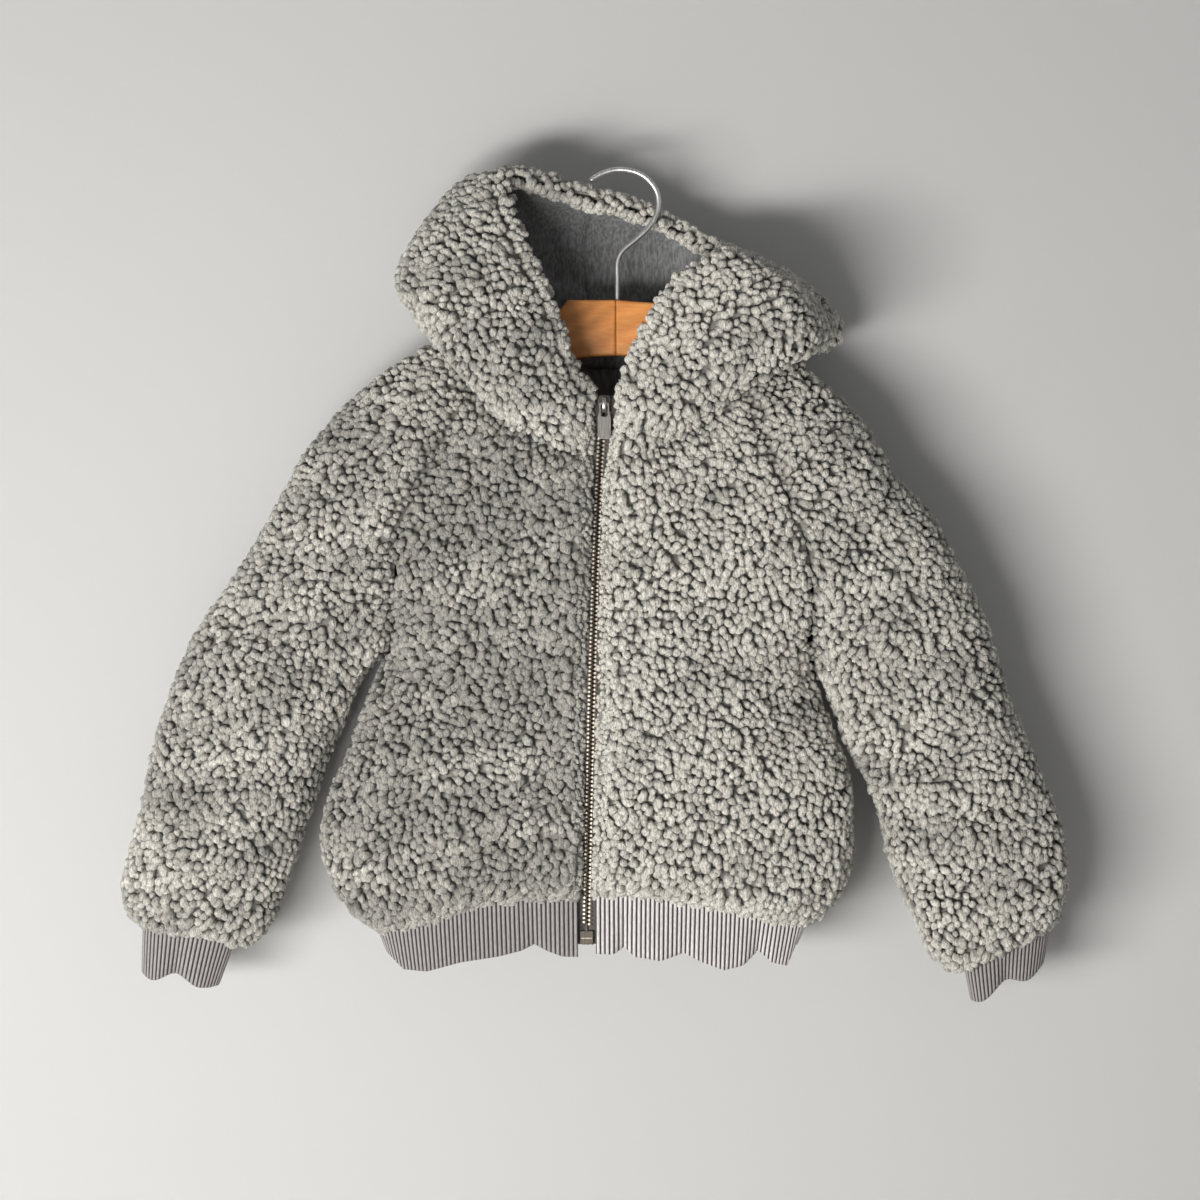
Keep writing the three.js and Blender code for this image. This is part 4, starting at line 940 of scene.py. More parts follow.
# Each free edge: how far it rolls, how far the fleece runs on inside, how far its roll stays back
# from the edge, and the size of its tufts. Beside the zip they are short, so the teeth stay clear.
FREE_EDGES = {
    "front right": [("first", 1.9, 0.0, 3.8, 0.62), ("bottom", 1.8, 0.0, -1.0, 0.92)],
    "front left": [("first", 1.9, 0.0, 2.9, 0.62), ("bottom", 1.8, 0.0, -1.0, 0.92)],
    "back": [("bottom", 1.8, 0.0, -1.0, 0.92)],
    "sleeve right": [("bottom", 1.8, 0.0, -1.0, 0.92)],
    "sleeve left": [("bottom", 1.8, 0.0, -1.0, 0.92)],
    "hood right": [("top", math.pi, 7.0, 0.5, 0.88), ("first", 1.9, 0.0, 3.4, 0.62)],
    "hood left": [("top", math.pi, 7.0, 0.5, 0.88), ("final", 1.9, 0.0, 3.4, 0.62)],
}


def panel_edge(panel, edge):
    """Points, normals, the outward way and the way down along one edge of a panel."""
    line, inner = {
        "bottom": ((0, slice(None)), (1, slice(None))), "top": ((-1, slice(None)), (-2, slice(None))),
        "first": ((slice(None), 0), (slice(None), 1)), "final": ((slice(None), -1), (slice(None), -2)),
    }[edge]
    points, normals = panel.envelope[line], panel.normals[line]
    outward = points - panel.envelope[inner]
    outward = unit(outward - normals * dot(outward, normals))
    down = -unit(np.gradient(points, axis=0))
    layers = (points, normals, outward, down)
    return [np.concatenate([a, a[:1]]) for a in layers] if panel.closed else layers


def edge_strip(panel, edge, turn, back, inset):
    """Layers of a strip that leads up to an edge and rolls over it: at angle a the point is
    centre + radius (normal cos a + outward sin a), then it runs straight on by back."""
    points, normals, outward, down = panel_edge(panel, edge)
    points = points - outward * inset
    angle = np.linspace(0.0, turn, ROLL_ROWS)[:, None, None]
    way = normals * np.cos(angle) + outward * np.sin(angle)
    ahead = outward * np.cos(angle) - normals * np.sin(angle)
    rolled = points - normals * (BACKING_DEPTH + ROLL_RADIUS) + way * ROLL_RADIUS
    lead = np.linspace(LEAD - inset, 0.8, 3)[:, None, None]
    before = points - normals * BACKING_DEPTH - outward * lead
    after = rolled[-1:] + ahead[-1:] * np.linspace(0.3, 1, 3)[:, None, None] * back
    extra = 3 if back else 0
    rolled = np.concatenate([before, rolled, after[:extra]])
    way = np.concatenate([np.repeat(way[:1], 3, axis=0), way, np.repeat(way[-1:], extra, axis=0)])
    ahead = np.concatenate([np.repeat(ahead[:1], 3, axis=0), ahead, np.repeat(ahead[-1:], extra, axis=0)])
    if edge in ("first", "final"):
        ahead = down + 0.3 * ahead
    return [rolled, way, ahead, np.zeros(rolled.shape[:2] + (1,)), np.ones(rolled.shape[:2] + (1,))]


# %% Backing and pile of every panel
REPLACED = {
    "front right": "front_right", "front left": "front_left", "back": "back",
    "sleeve right": "sleeve_right", "sleeve left": "sleeve_left",
    "hood right": "hood_right", "hood left": "hood_left",
}


def cut_size(points, closed=False):
    """Width, length and area of a piece laid flat: its longest row, its longest column, its surface."""
    if closed:
        points = np.concatenate([points, points[:, :1]], axis=1)
    across, up = running_length(points, 1)[:, -1].max(), running_length(points, 0)[-1].max()
    one = points[1:, 1:] - points[:-1, :-1]
    other = points[1:, :-1] - points[:-1, 1:]
    area = np.linalg.norm(np.cross(one, other), axis=-1).sum() / 2
    return across, up, area


def declare_sheet(piece, points, closed=False):
    width, length, area = cut_size(points, closed)
    area = min(area, 1.0 * width * length)
    print(f"{piece.name}: cut {width:.0f} x {length:.0f} mm, {area / 100:.0f} square cm")


MATTED_WIDTH = 15.0          # the pile is matted this far from a free edge
SEAM_CLEAR = {"hood": 0.8}   # no tuft stands where the share of the seam is more
SEAM_CLEAR_REST = 0.97
# How pale the pile is on each piece: painted light and shade for the whole piece. Where it stands open
# more of its darker roots show, and their dark is painted shade as well.
PIECE_LIGHT_AND_SHADE = {
    "front right": 0.1, "front left": 1.0, "back": 0.55, "sleeve right": 0.42, "sleeve left": 0.75,
    "hood right": 0.55, "hood left": 0.95,
}
rng = np.random.default_rng(SEED)
tuft_total = 0
for panel in panels:
    base = panel.envelope - panel.normals * BACKING_DEPTH
    under = base - panel.normals * BACKING_THICK
    points, quads = wall(base, under, panel.closed, flip=panel.sign < 0)
    node = REPLACED[panel.name]
    backing = new_piece(f"{node}_backing", mesh_from(f"{node}_backing", points, quads), BACKING,
                        "garment", [node])
    matted = np.exp(-(panel.free / MATTED_WIDTH) ** 2)[..., None]
    layers = [base, panel.normals, -panel.up, panel.seam[..., None], matted, panel.free[..., None]]
    *main, free = spread(layers, TUFT_GAP, rng, panel.closed)
    clear = (free[:, 0] > LEAD) & (main[3][:, 0] < SEAM_CLEAR.get(panel.name[:4], SEAM_CLEAR_REST))
    sets = [[layer[clear] for layer in main] + [np.ones((clear.sum(), 1))]]
    for edge, turn, back, inset, size in FREE_EDGES[panel.name]:
        strip = spread(edge_strip(panel, edge, turn, back, inset), TUFT_GAP * size * 0.9, rng)
        sets.append(strip + [np.full((len(strip[0]), 1), size)])
    places, normals, nap, seam, matted, size = (np.concatenate(layer) for layer in zip(*sets))
    mesh = grow_tufts(f"{node}_pile", places, unit(normals), nap, seam, matted, size,
                      PIECE_LIGHT_AND_SHADE[panel.name], rng)
    pile = new_piece(f"{node}_pile", mesh, PILE, "garment")
    tuft_total += len(places)
    declare_sheet(backing, base, panel.closed)
    print(f"{node}: {len(places)} tufts")
print("tufts in all:", tuft_total)


# %% [markdown]
# ## Jersey linings
# The hood is lined with heather-grey jersey, and the same jersey faces the inside of the back below
# the hanger. It is a thin smooth knit, so it shows its folds: a roll above the hanger, a shaded dip
# over it, and small creases in the hood's corner. Its mottling is stretched along the knit's columns.

# %% Lining folds and pieces
FLEECE_THICK = 6.5
LINING_GAP = 0.7
JERSEY_THICK = 0.9
RIM_TURN = 9.0               # the fleece turns in this far before the lining starts
BESIDE_TAPE = 9.0
# Ends x, z, x, z in millimetres, how far the cloth comes towards the wearer, half width.
LINING_FOLDS = [
    (-62, -76, -3, -90, 5.5, 9), (6, -84, 46, -92, 4.5, 8), (-52, -60, -6, -70, -3.5, 8),
    (14, -66, 66, -70, -3.0, 7), (18, -52, 66, -60, 2.6, 5), (-78, -12, -67, -42, 3.4, 3.5),
    (-70, -12, -60, -40, -2.2, 3.5), (-64, -16, -50, -52, 1.8, 5), (-30, -22, -24, -56, 1.3, 7),
    (22, -76, 52, -80, 2.0, 3.5), (-48, -82, -18, -92, -1.6, 3.5),
]
JERSEY = plain_yarn_material("heather jersey", 0.92, 620.0, 4.2, 0.25, (0.265, 0.272, 0.275),
                             (0.135, 0.14, 0.142), sheen=0.25, stretch=(1.0, 1.0, 0.16))


def lining_wall(panel, rows, columns, extra):
    """Outer and inner grid of a lining: the panel moved in by the fleece, a gap and its folds."""
    points, normals = panel.points[rows, columns], panel.normals[rows, columns]
    folds = bell_lines(points, LINING_FOLDS) * ease((points[..., 1] + 12) / 16)
    depth = FLEECE_THICK + LINING_GAP + np.maximum(-0.3, folds + 0.5 * swell(points, 26.0, SEED + 5)) + extra
    outer = points - normals * depth[..., None]
    return outer, outer - normals * JERSEY_THICK


def trim_rows(grid, low, high):
    """The rows of a grid from low millimetres up each column to high millimetres from its end."""
    run = running_length(grid, 0)
    total = run[-1]
    rows = grid.shape[0]
    place = np.linspace(0, 1, rows)[:, None] * (total - low - high)[None, :] + low
    index = np.stack([np.interp(place[:, c], run[:, c], np.arange(rows)) for c in range(grid.shape[1])], axis=1)
    k = np.clip(index.astype(int), 0, rows - 2)
    column_number = np.arange(grid.shape[1])[None, :]
    return mix(grid[k, column_number], grid[k + 1, column_number], (index - k)[..., None])


by_name = {panel.name: panel for panel in panels}


def lining_columns(panel, edge):
    """The columns that stay clear of the zip tape at one edge."""
    width = running_length(panel.points, 1)[panel.points.shape[0] // 2]
    if edge == "first":
        return slice(int(np.searchsorted(width, BESIDE_TAPE)), None)
    return slice(None, int(np.searchsorted(width, width[-1] - BESIDE_TAPE)) + 1)


for side, edge, slack in (("right", "first", 1.6), ("left", "final", 0.3)):
    panel = by_name[f"hood {side}"]
    columns = lining_columns(panel, edge)
    share_up = np.linspace(0, 1, panel.points.shape[0])[:, None]
    outer, inner = lining_wall(panel, slice(None), columns, slack * (1 - ease(share_up / 0.3)))
    outer, inner = (trim_rows(grid, 1.0, RIM_TURN - 1.5) for grid in (outer, inner))
    points, quads = wall(outer, inner, flip=panel.sign < 0)
    name = f"hood_lining_{side}"
    piece = new_piece(f"{name}_jersey", mesh_from(name, points, quads), JERSEY, "garment", [name])
    declare_sheet(piece, outer)

panel = by_name["back"]
top_rows = slice(int(panel.points.shape[0] * 0.70), None)
outer, inner = lining_wall(panel, top_rows, slice(3, -3), 0.0)
points, quads = wall(outer, inner, flip=panel.sign < 0)
piece = new_piece("back_lining_jersey", mesh_from("back_lining", points, quads), JERSEY, "garment",
                  ["back_lining"])
declare_sheet(piece, outer)

# %% [markdown]
# ## Rib knit
# The hem band and the cuffs are knitted in ribs three millimetres apart: a broad pale crest and a
# narrow dark groove between crests. Each rib is six columns of points, raised by a rounded profile,
# and a point's height goes with it to the material, which darkens the grooves: painted shade. The
# left half of the hem band has paler crests: painted light, on the side that turns to the lamp.

# %% Rib material and profile
RIB_PITCH = 3.1
RIB_HEIGHT = 1.0
RIB_THICK = 1.8
RIB_PLACES = np.array([0.0, 0.14, 0.30, 0.50, 0.70, 0.86])
RIB_ROWS = 9
RIB_IN = 3.0                 # the band hangs this far inside the face of the fleece


def rib_material(name, crest):
    material, tree, shader = new_material(name, 0.93, sheen=0.2)
    shader.inputs["Specular IOR Level"].default_value = 0.2
    yarn = add_yarn(tree, shader, 900.0, 2.4, 0.5, (1.0, 1.0, 1.0), (0.70, 0.70, 0.71), (1.0, 1.0, 0.35))
    where = add_node(tree, "ShaderNodeAttribute", (-900, 400))
    where.attribute_name = "rib"
    split = add_node(tree, "ShaderNodeSeparateColor", (-700, 400))
    ramp = add_node(tree, "ShaderNodeValToRGB", (-500, 450))
    # Low points take near-black: painted shade in the grooves.
    ramp.color_ramp.elements[0].position = 0.34
    ramp.color_ramp.elements[0].color = (0.030, 0.028, 0.030, 1.0)
    ramp.color_ramp.elements[1].position = 0.85
    ramp.color_ramp.elements[1].color = crest
    tree.links.new(where.outputs["Color"], split.inputs["Color"])
    tree.links.new(split.outputs["Red"], ramp.inputs["Fac"])
    final = multiply_colours(tree, ramp.outputs["Color"], yarn.outputs["Color"], (-100, 400))
    tree.links.new(final, shader.inputs["Base Color"])
    return material


# Two copies of one rib knit; the paler crest is painted light, for the half of the hem band that turns to the lamp.
RIB = rib_material("marled rib knit", (0.42, 0.390, 0.381, 1.0))
RIB_PAINTED_LIT = rib_material("marled rib knit, paler", (0.80, 0.755, 0.745, 1.0))


def rib_profile(phase):
    """Height of a rib across its width: 1 - exp(-(distance to the nearest groove / 0.19) squared)."""
    away = np.minimum(phase, 1 - phase)
    return 1 - np.exp(-(away / 0.19) ** 2)


def resample(points, extra, length_at):
    """Points and a second array at given lengths along a line."""
    run = np.concatenate([[0], np.cumsum(np.linalg.norm(np.diff(points, axis=0), axis=1))])
    def pick(a):
        return np.stack([np.interp(length_at, run, a[:, c]) for c in range(a.shape[1])], axis=1)
    return pick(points), pick(extra)


def rib_band(name, top, outward, drop, closed, node):
    """A band of ribs under a line: rows go down from the top line to its drop, ribs stand out."""
    length = np.linalg.norm(np.diff(top, axis=0), axis=1).sum()
    ribs = int(round(length / RIB_PITCH))
    phase = np.tile(RIB_PLACES, ribs)
    number = np.repeat(np.arange(ribs), len(RIB_PLACES))
    at = (number + phase) / ribs * length
    if not closed:
        at, phase = np.append(at, length), np.append(phase, 0.0)
    start, out = resample(top, outward, at)
    out = unit(out)
    end = drop(start)
    share = np.linspace(0, 1, RIB_ROWS)[:, None, None]
    middle = start + (end - start) * share
    if closed:
        beside = np.roll(middle, -6, axis=1) - np.roll(middle, 6, axis=1)
    else:
        beside = np.gradient(middle, axis=1)
        kernel = np.ones(13) / 13
        beside = np.stack([np.stack([
            np.convolve(np.pad(row[:, c], 6, mode="edge"), kernel, "valid") for c in range(3)], axis=1)
            for row in beside])
    down = np.gradient(middle, axis=0)
    face = unit(np.cross(beside, down))
    face = face * np.sign(dot(face, np.broadcast_to(out, face.shape)))
    face = unit(mix(np.broadcast_to(out, face.shape), face, np.minimum(1, share * 3)))
    height = rib_profile(phase)[None, :, None] * RIB_HEIGHT
    height = height * mix(1.0, 0.75, share ** 6)
    outer = middle + face * height
    inner = middle - face * RIB_THICK
    points, quads = wall(outer, inner, closed)
    mesh = mesh_from(name, points, quads)
    volume_sign = np.einsum("ij,ij->i", points[quads[:, 0]],
                            np.cross(points[quads[:, 1]] - points[quads[:, 0]],
                                     points[quads[:, 2]] - points[quads[:, 0]])).sum()
    if volume_sign < 0:
        mesh.flip_normals()
    # The rib's height goes to the material, which paints the grooves in dark shade.
    tone = np.zeros((len(points), 3))
    tone[:, 0] = np.concatenate([np.tile(rib_profile(phase), RIB_ROWS)] * 2)
    colour_points(mesh, "rib", tone)
    # The left half of the hem band takes the paler copy: painted light.
    piece = new_piece(f"{name}_knit", mesh, RIB_PAINTED_LIT if node == "hem_rib_left" else RIB, "garment", [node])
    declare_sheet(piece, middle,
                  closed=closed)
    print(name, "ribs:", ribs)
    return piece


# %% Hem band
RIB_OPEN_HALF = 6.2
HEM_BACK = -531.0           # where the band ends behind
HEM_LEAN = 6.0              # how far its lower corners lean in at the sides
# Lower edge of the band in front: x, z, and how far the cloth is drawn in there.
HEM_FRONT = [
    (-166, -533, 0), (-150, -545.5, 0), (-132, -546.5, 0), (-108, -540, 0), (-82, -536, 1), (-66, -532, 3),
    (-57, -527.5, 5), (-48, -532, 2), (-38, -535.5, 0), (-26, -536, 0), (-14, -534, 0), (-3, -534.5, 0),
    (5, -529.5, 5), (12, -536, 1), (30, -539, 0), (46, -533.5, 3), (57, -539, 0), (74, -545.5, 0),
    (88, -542.5, 1), (99, -532.5, 6), (110, -541, 1), (122, -543.5, 0), (132, -526, 0),
]


def hem_drop(start):
    """The band's lower edge under each point of its top: the front follows the table, the back a wave."""
    out = np.clip(np.abs(start[:, 0] - zip_x(ZIP_BOTTOM)) / 150, 0, 1)
    wave = np.cos(2 * math.pi * (start[:, 0] + 18) / 88)
    behind = HEM_BACK - 2 * wave
    table = np.asarray(HEM_FRONT, float)
    front = np.interp(start[:, 0], table[:, 0], table[:, 1])
    drawn = np.interp(start[:, 0], table[:, 0], table[:, 2])
    in_front = ease(-start[:, 1] / 8)
    z = mix(behind, front, in_front)
    y = start[:, 1] + mix(-3 * wave * out, drawn + 1.5, in_front) * ease(np.abs(start[:, 1]) / 12)
    x = start[:, 0] * 0.985 - HEM_LEAN * np.sign(start[:, 0] - zip_x(ZIP_BOTTOM)) * out ** 6
    return np.stack([x, y, z], axis=1)


for side in ("right", "left"):
    front_points, front_normals, front_away, _ = panel_edge(by_name[f"front {side}"], "bottom")
    back_points, back_normals, back_away, _ = panel_edge(by_name["back"], "bottom")
    half = len(back_points) // 2
    order = slice(0, half + 1) if side == "right" else slice(len(back_points) - 1, half - 1, -1)
    top = np.concatenate([front_points, back_points[order][1:]])
    normals = np.concatenate([front_normals, back_normals[order][1:]])
    away = np.concatenate([front_away, back_away[order][1:]])
    top = top - normals * RIB_IN - away * 1.0
    top[0, 0] = zip_x(ZIP_BOTTOM) + OUT[side] * RIB_OPEN_HALF
    rib_band(f"hem_rib_{side}", top, normals, hem_drop, False, f"hem_rib_{side}")

# %% Cuffs
CUFFS = {"right": (30.0, -6.0), "left": (24.0, 0.0)}   # how far the cuff hangs, and how far it leans
CUFF_NARROW = 0.84
CUFF_LOBE = 7.0

for side in ("right", "left"):
    points, normals, away, _ = panel_edge(by_name[f"sleeve {side}"], "bottom")
    ring = points - normals * RIB_IN - away * 1.0
    centre = ring[:-1].mean(axis=0)
    reach = np.abs(ring[:, 0] - centre[0]).max()
    cuff_length, lean = CUFFS[side]

    def cuff_drop(start):
        """The cuff's end: narrower than its start, with two lobes as cos(1.6 pi (place + 0.1))."""
        away_from = start - centre
        lobes = np.cos(math.pi * (away_from[:, 0] / reach + 0.1) * 1.6)
        end = centre + away_from * CUFF_NARROW + np.array([lean, 0, -cuff_length])
        end[:, 2] -= CUFF_LOBE * (0.5 - 0.5 * lobes)
        end[:, 1] *= 0.75 + 0.25 * (0.5 - 0.5 * lobes)
        end[:, 1] -= 3.2 * np.sign(away_from[:, 1]) * np.exp(-((away_from[:, 0] / reach + 0.1) / 0.16) ** 2)
        return end

    rib_band(f"cuff_{side}", ring, normals, cuff_drop, True, f"cuff_{side}")

# %% [markdown]
# ## Zip
# A closed metal zip is two rows of small teeth, each crimped round the edge of a woven tape and
# locked between two of the other row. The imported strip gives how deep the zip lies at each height.

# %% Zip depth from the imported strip
def node_points(name):
    """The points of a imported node, in millimetres."""
    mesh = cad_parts[name].data
    flat = np.zeros(len(mesh.vertices) * 3, np.float32)
    mesh.vertices.foreach_get("co", flat)
    return flat.reshape(-1, 3).astype(float) / MM


strip = node_points("zip_chain")
heights = np.unique(np.round(strip[:, 2], 1))
fronts = np.array([strip[np.abs(strip[:, 2] - h) < 0.2][:, 1].min() for h in heights])


def chain_y(z):
    """y of the front of the teeth at a height."""
    return np.interp(z, heights, fronts)


print("zip depth from", round(fronts[0], 1), "at the hem to", round(fronts[-1], 1), "at the neck")

# %% Zip metals
def metal_material(name, base, worn, roughness, scratch):
    """Metal whose raised places are worn brighter: an attribute mixes the two colours. On the slider's
    plate it is kept low, so the dark base colour there is painted shadow.
    """
    material, tree, shader = new_material(name, roughness, metallic=0.92)
    where = add_node(tree, "ShaderNodeAttribute", (-900, 400))
    where.attribute_name = "crown"
    split = add_node(tree, "ShaderNodeSeparateColor", (-700, 400))
    place = tree.nodes.new("ShaderNodeTexCoord")
    place.location = (-1100, 0)
    stretch = add_node(tree, "ShaderNodeMapping", (-900, 0), Scale=(1.0, 1.0, 0.12))
    fine = add_node(tree, "ShaderNodeTexNoise", (-700, 0), Scale=scratch, Detail=4.0)
    tree.links.new(place.outputs["Object"], stretch.inputs["Vector"])
    tree.links.new(stretch.outputs["Vector"], fine.inputs["Vector"])
    bump = add_node(tree, "ShaderNodeBump", (-400, -200), Strength=0.15, Distance=0.0004)
    tree.links.new(fine.outputs["Fac"], bump.inputs["Height"])
    tree.links.new(bump.outputs["Normal"], shader.inputs["Normal"])
    blend = add_node(tree, "ShaderNodeMix", (-400, 400))
    blend.data_type = "RGBA"
    blend.inputs["A"].default_value = (*base, 1.0)
    blend.inputs["B"].default_value = (*worn, 1.0)
    tree.links.new(where.outputs["Color"], split.inputs["Color"])
    tree.links.new(split.outputs["Red"], blend.inputs["Factor"])
    dirt = add_node(tree, "ShaderNodeValToRGB", (-400, 200))
    dirt.color_ramp.elements[0].position, dirt.color_ramp.elements[0].color = 0.3, (0.6, 0.58, 0.55, 1.0)
    dirt.color_ramp.elements[1].position = 0.65
    tree.links.new(fine.outputs["Fac"], dirt.inputs["Fac"])
    final = multiply_colours(tree, blend.outputs["Result"], dirt.outputs["Color"], (-150, 300))
    tree.links.new(final, shader.inputs["Base Color"])
    return material


BRONZE = metal_material("antique bronze", (0.030, 0.022, 0.017), (0.62, 0.56, 0.47), 0.45, 900.0)
NICKEL = metal_material("worn nickel", (0.11, 0.10, 0.095), (0.62, 0.60, 0.57), 0.36, 1400.0)
TAPE = plain_yarn_material("zip tape weave", 0.9, 1100.0, 2.2, 0.6, (0.15, 0.14, 0.13), (0.07, 0.065, 0.06),
                           stretch=(0.5, 1.0, 1.6))

# %% Teeth
TOOTH_PITCH = 2.8
TEETH_TOP = -166.0
TEETH_BOTTOM = -514.0
# Sections of a tooth outwards from the middle of the zip: x, half height, front y, back y.
TOOTH_SECTIONS = np.array([
    (-0.9, 0.42, 0.45, 1.75), (0.4, 0.66, 0.2, 2.1), (1.8, 0.70, 0.0, 2.2), (3.4, 0.55, 0.3, 1.9),
])


def teeth(name):
    """All teeth of both rows as one mesh: each is a run of four sections with a face at both ends."""
    count = int((TEETH_TOP - TEETH_BOTTOM) / TOOTH_PITCH)
    z = TEETH_BOTTOM + np.arange(2 * count) * TOOTH_PITCH / 2
    out = np.where(np.arange(2 * count) % 2 == 0, 1.0, -1.0)
    x, half, front, behind = TOOTH_SECTIONS.T
    corner_x = np.repeat(x, 4)
    corner_z = (half[:, None] * np.array([-1, 1, 1, -1])).ravel()
    corner_y = np.stack([front, front, behind, behind], axis=1).ravel()
    points = np.stack([
        zip_x(z)[:, None] + out[:, None] * corner_x,
        chain_y(z)[:, None] + corner_y,
        z[:, None] + corner_z,
    ], axis=-1)
    each = len(corner_x)
    quads = grid_quads(len(x), 4, closed=True)
    ends = np.array([[3, 2, 1, 0], [each - 4, each - 3, each - 2, each - 1]])
    one = np.concatenate([quads, ends])
    right, left = out > 0, out < 0
    shift = (np.arange(2 * count) * each)[:, None, None]
    faces = np.where(left[:, None, None], one[None, :, ::-1], one[None]) + shift
    mesh = mesh_from(name, points.reshape(-1, 3), faces.reshape(-1, 4))
    mesh.polygons.foreach_set("use_smooth", np.zeros(len(mesh.polygons), bool))
    bright = np.zeros((2 * count, each, 3))
    bright[:, [8, 9], 0] = 1.0
    colour_points(mesh, "crown", bright.reshape(-1, 3))
    print("teeth:", 2 * count, "on", int(right.sum()), "and", int(left.sum()))
    return mesh


new_piece("zip_teeth", teeth("zip_teeth"), BRONZE, "garment", ["zip_chain"])

# %% Tapes
TAPE_NEAR, TAPE_FAR = 1.5, 14.0
TAPE_THICK = 0.7
TAPE_BEHIND = 0.9            # the tape's face lies this far behind the front of the teeth

for side in ("right", "left"):
    z = np.linspace(ZIP_BOTTOM + 0.5, ZIP_TOP - 0.5, 120)[:, None]
    far = np.linspace(TAPE_NEAR, TAPE_FAR, 9)[None, :]
    ripple = 0.25 * np.sin(z / 7.0) * (far / TAPE_FAR)
    x = zip_x(z) + OUT[side] * far
    face = np.stack(np.broadcast_arrays(x, chain_y(z) + TAPE_BEHIND + ripple, z), axis=-1)
    points, quads = wall(face, face + np.array([0, TAPE_THICK, 0]), flip=side == "right")
    name = f"zip_tape_{side}"
    piece = new_piece(f"{name}_weave", mesh_from(name, points, quads), TAPE, "garment", [name])
    declare_sheet(piece, face)

# %% [markdown]
# ## Slider, pull and box
# They are cast metal with softened edges. Each is a plate with an outline, given thickness, and a
# Bevel modifier rounds its edges. The pull hangs from the bar of the slider's bridge and swings.

# %% Plates with rounded edges
def plate(name, outline, front, thick, hole=None, bevel=0.35, crown=0.5):
    """A flat outline in x and z with thickness in y. With a hole, outer and inner outlines have the
    same number of points and quads run between them."""
    outline = np.asarray(outline, float)
    count = len(outline)
    number = np.arange(count)
    after = (number + 1) % count
    loops = [outline] if hole is None else [outline, np.asarray(hole, float)]
    flat = np.concatenate(loops)
    layers = [np.stack([flat[:, 0], np.full(len(flat), y), flat[:, 1]], axis=1) for y in (front, front + thick)]
    points = np.concatenate(layers)
    total = len(flat)
    if hole is None:
        faces = [list(map(int, number)), list(map(int, number[::-1] + total))]
    else:
        ring = np.stack([number, after, after + count, number + count], axis=-1)
        faces = ring.tolist() + (ring[:, ::-1] + total).tolist()
        inside = np.stack([number + count, after + count, after + count + total, number + count + total], axis=-1)
        faces += inside.tolist()
    faces += np.stack([after, number, number + total, after + total], axis=-1).tolist()
    mesh = bpy.data.meshes.new(name)
    mesh.from_pydata((points * MM).tolist(), [], faces)
    mesh.update()
    colour_points(mesh, "crown", np.tile([crown, 0, 0], (len(points), 1)))
    return mesh


def soften(piece, width):
    """Rounds a piece's edges with two bevel steps."""
    rounding = piece.modifiers.new("rounded edges", "BEVEL")
    rounding.width = width * MM
    rounding.segments = 2
    rounding.limit_method = "ANGLE"
    return piece


def rounded_box(middle, half, radius, count=24):
    """Outline of a rounded rectangle round a middle, starting at the right."""
    corner = np.repeat([0, 1, 2, 3], count // 4)
    turn = (corner + np.tile(np.linspace(0, 1, count // 4), 4)) * math.pi / 2
    sign_x = np.array([1, -1, -1, 1])[corner]
    sign_z = np.array([1, 1, -1, -1])[corner]
    x = middle[0] + sign_x * (half[0] - radius) + radius * np.cos(turn)
    z = middle[1] + sign_z * (half[1] - radius) + radius * np.sin(turn)
    return np.stack([x, z], axis=1)


slider_low, slider_high = (np.array(corner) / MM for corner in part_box("zip_slider"))
slider_middle = (slider_low + slider_high) / 2
PLATE_THICK = 1.6
plate_back = slider_high[1]
plate_front = plate_back - PLATE_THICK
half_width, half_height = 4.5, 6.0
outline = np.array([
    (-0.70, -1.0), (-0.82, -0.3), (-0.96, 0.25), (-1.0, 0.55), (-0.88, 0.86), (-0.55, 1.0),
    (0.55, 1.0), (0.88, 0.86), (1.0, 0.55), (0.96, 0.25), (0.82, -0.3), (0.70, -1.0),
]) * [half_width, half_height] + slider_middle[[0, 2]]
# The plate keeps almost only the nickel's dark base colour: painted shadow, seen through the slot of the pull that
# hangs in front of it.
body = plate("zip_slider_plate", outline, plate_front, PLATE_THICK, crown=0.05)
soften(new_piece("zip_slider_plate", body, NICKEL, "garment", ["zip_slider"]), 0.45)

# %% Bridge over the pull's bar
BRIDGE_HALF = 1.25
bridge_y = np.array([0.2, -1.4, -2.9, -3.6, -3.8, -3.6, -2.9, -1.4, 0.2])
bridge_z = np.array([-4.5, -4.5, -4.1, -2.6, 0.0, 2.6, 4.1, 4.5, 4.5])
bridge_line = np.stack([bridge_y + plate_front, bridge_z + slider_middle[2]], axis=1)
ahead = unit(np.gradient(bridge_line, axis=0))
inward = np.stack([ahead[:, 1], -ahead[:, 0]], axis=1)
inward = inward * np.sign(np.sum(inward * (slider_middle[[1, 2]] * [0, 1] + [plate_front, 0] - bridge_line),
                                 axis=1, keepdims=True))
inside_line = bridge_line + inward * 0.95
strap = np.stack([bridge_line, inside_line], axis=0)


def strap_grid(x):
    return np.concatenate([np.full(strap.shape[:2] + (1,), x), strap], axis=-1)


low_side, high_side = strap_grid(slider_middle[0] - BRIDGE_HALF), strap_grid(slider_middle[0] + BRIDGE_HALF)
points, quads = wall(np.stack([low_side[0], high_side[0]]), np.stack([low_side[1], high_side[1]]))
bridge_mesh = mesh_from("zip_slider_bridge", points, quads)
colour_points(bridge_mesh, "crown", np.tile([0.95, 0, 0], (len(points), 1)))
soften(new_piece("zip_slider_bridge", bridge_mesh, NICKEL, "garment"), 0.25)

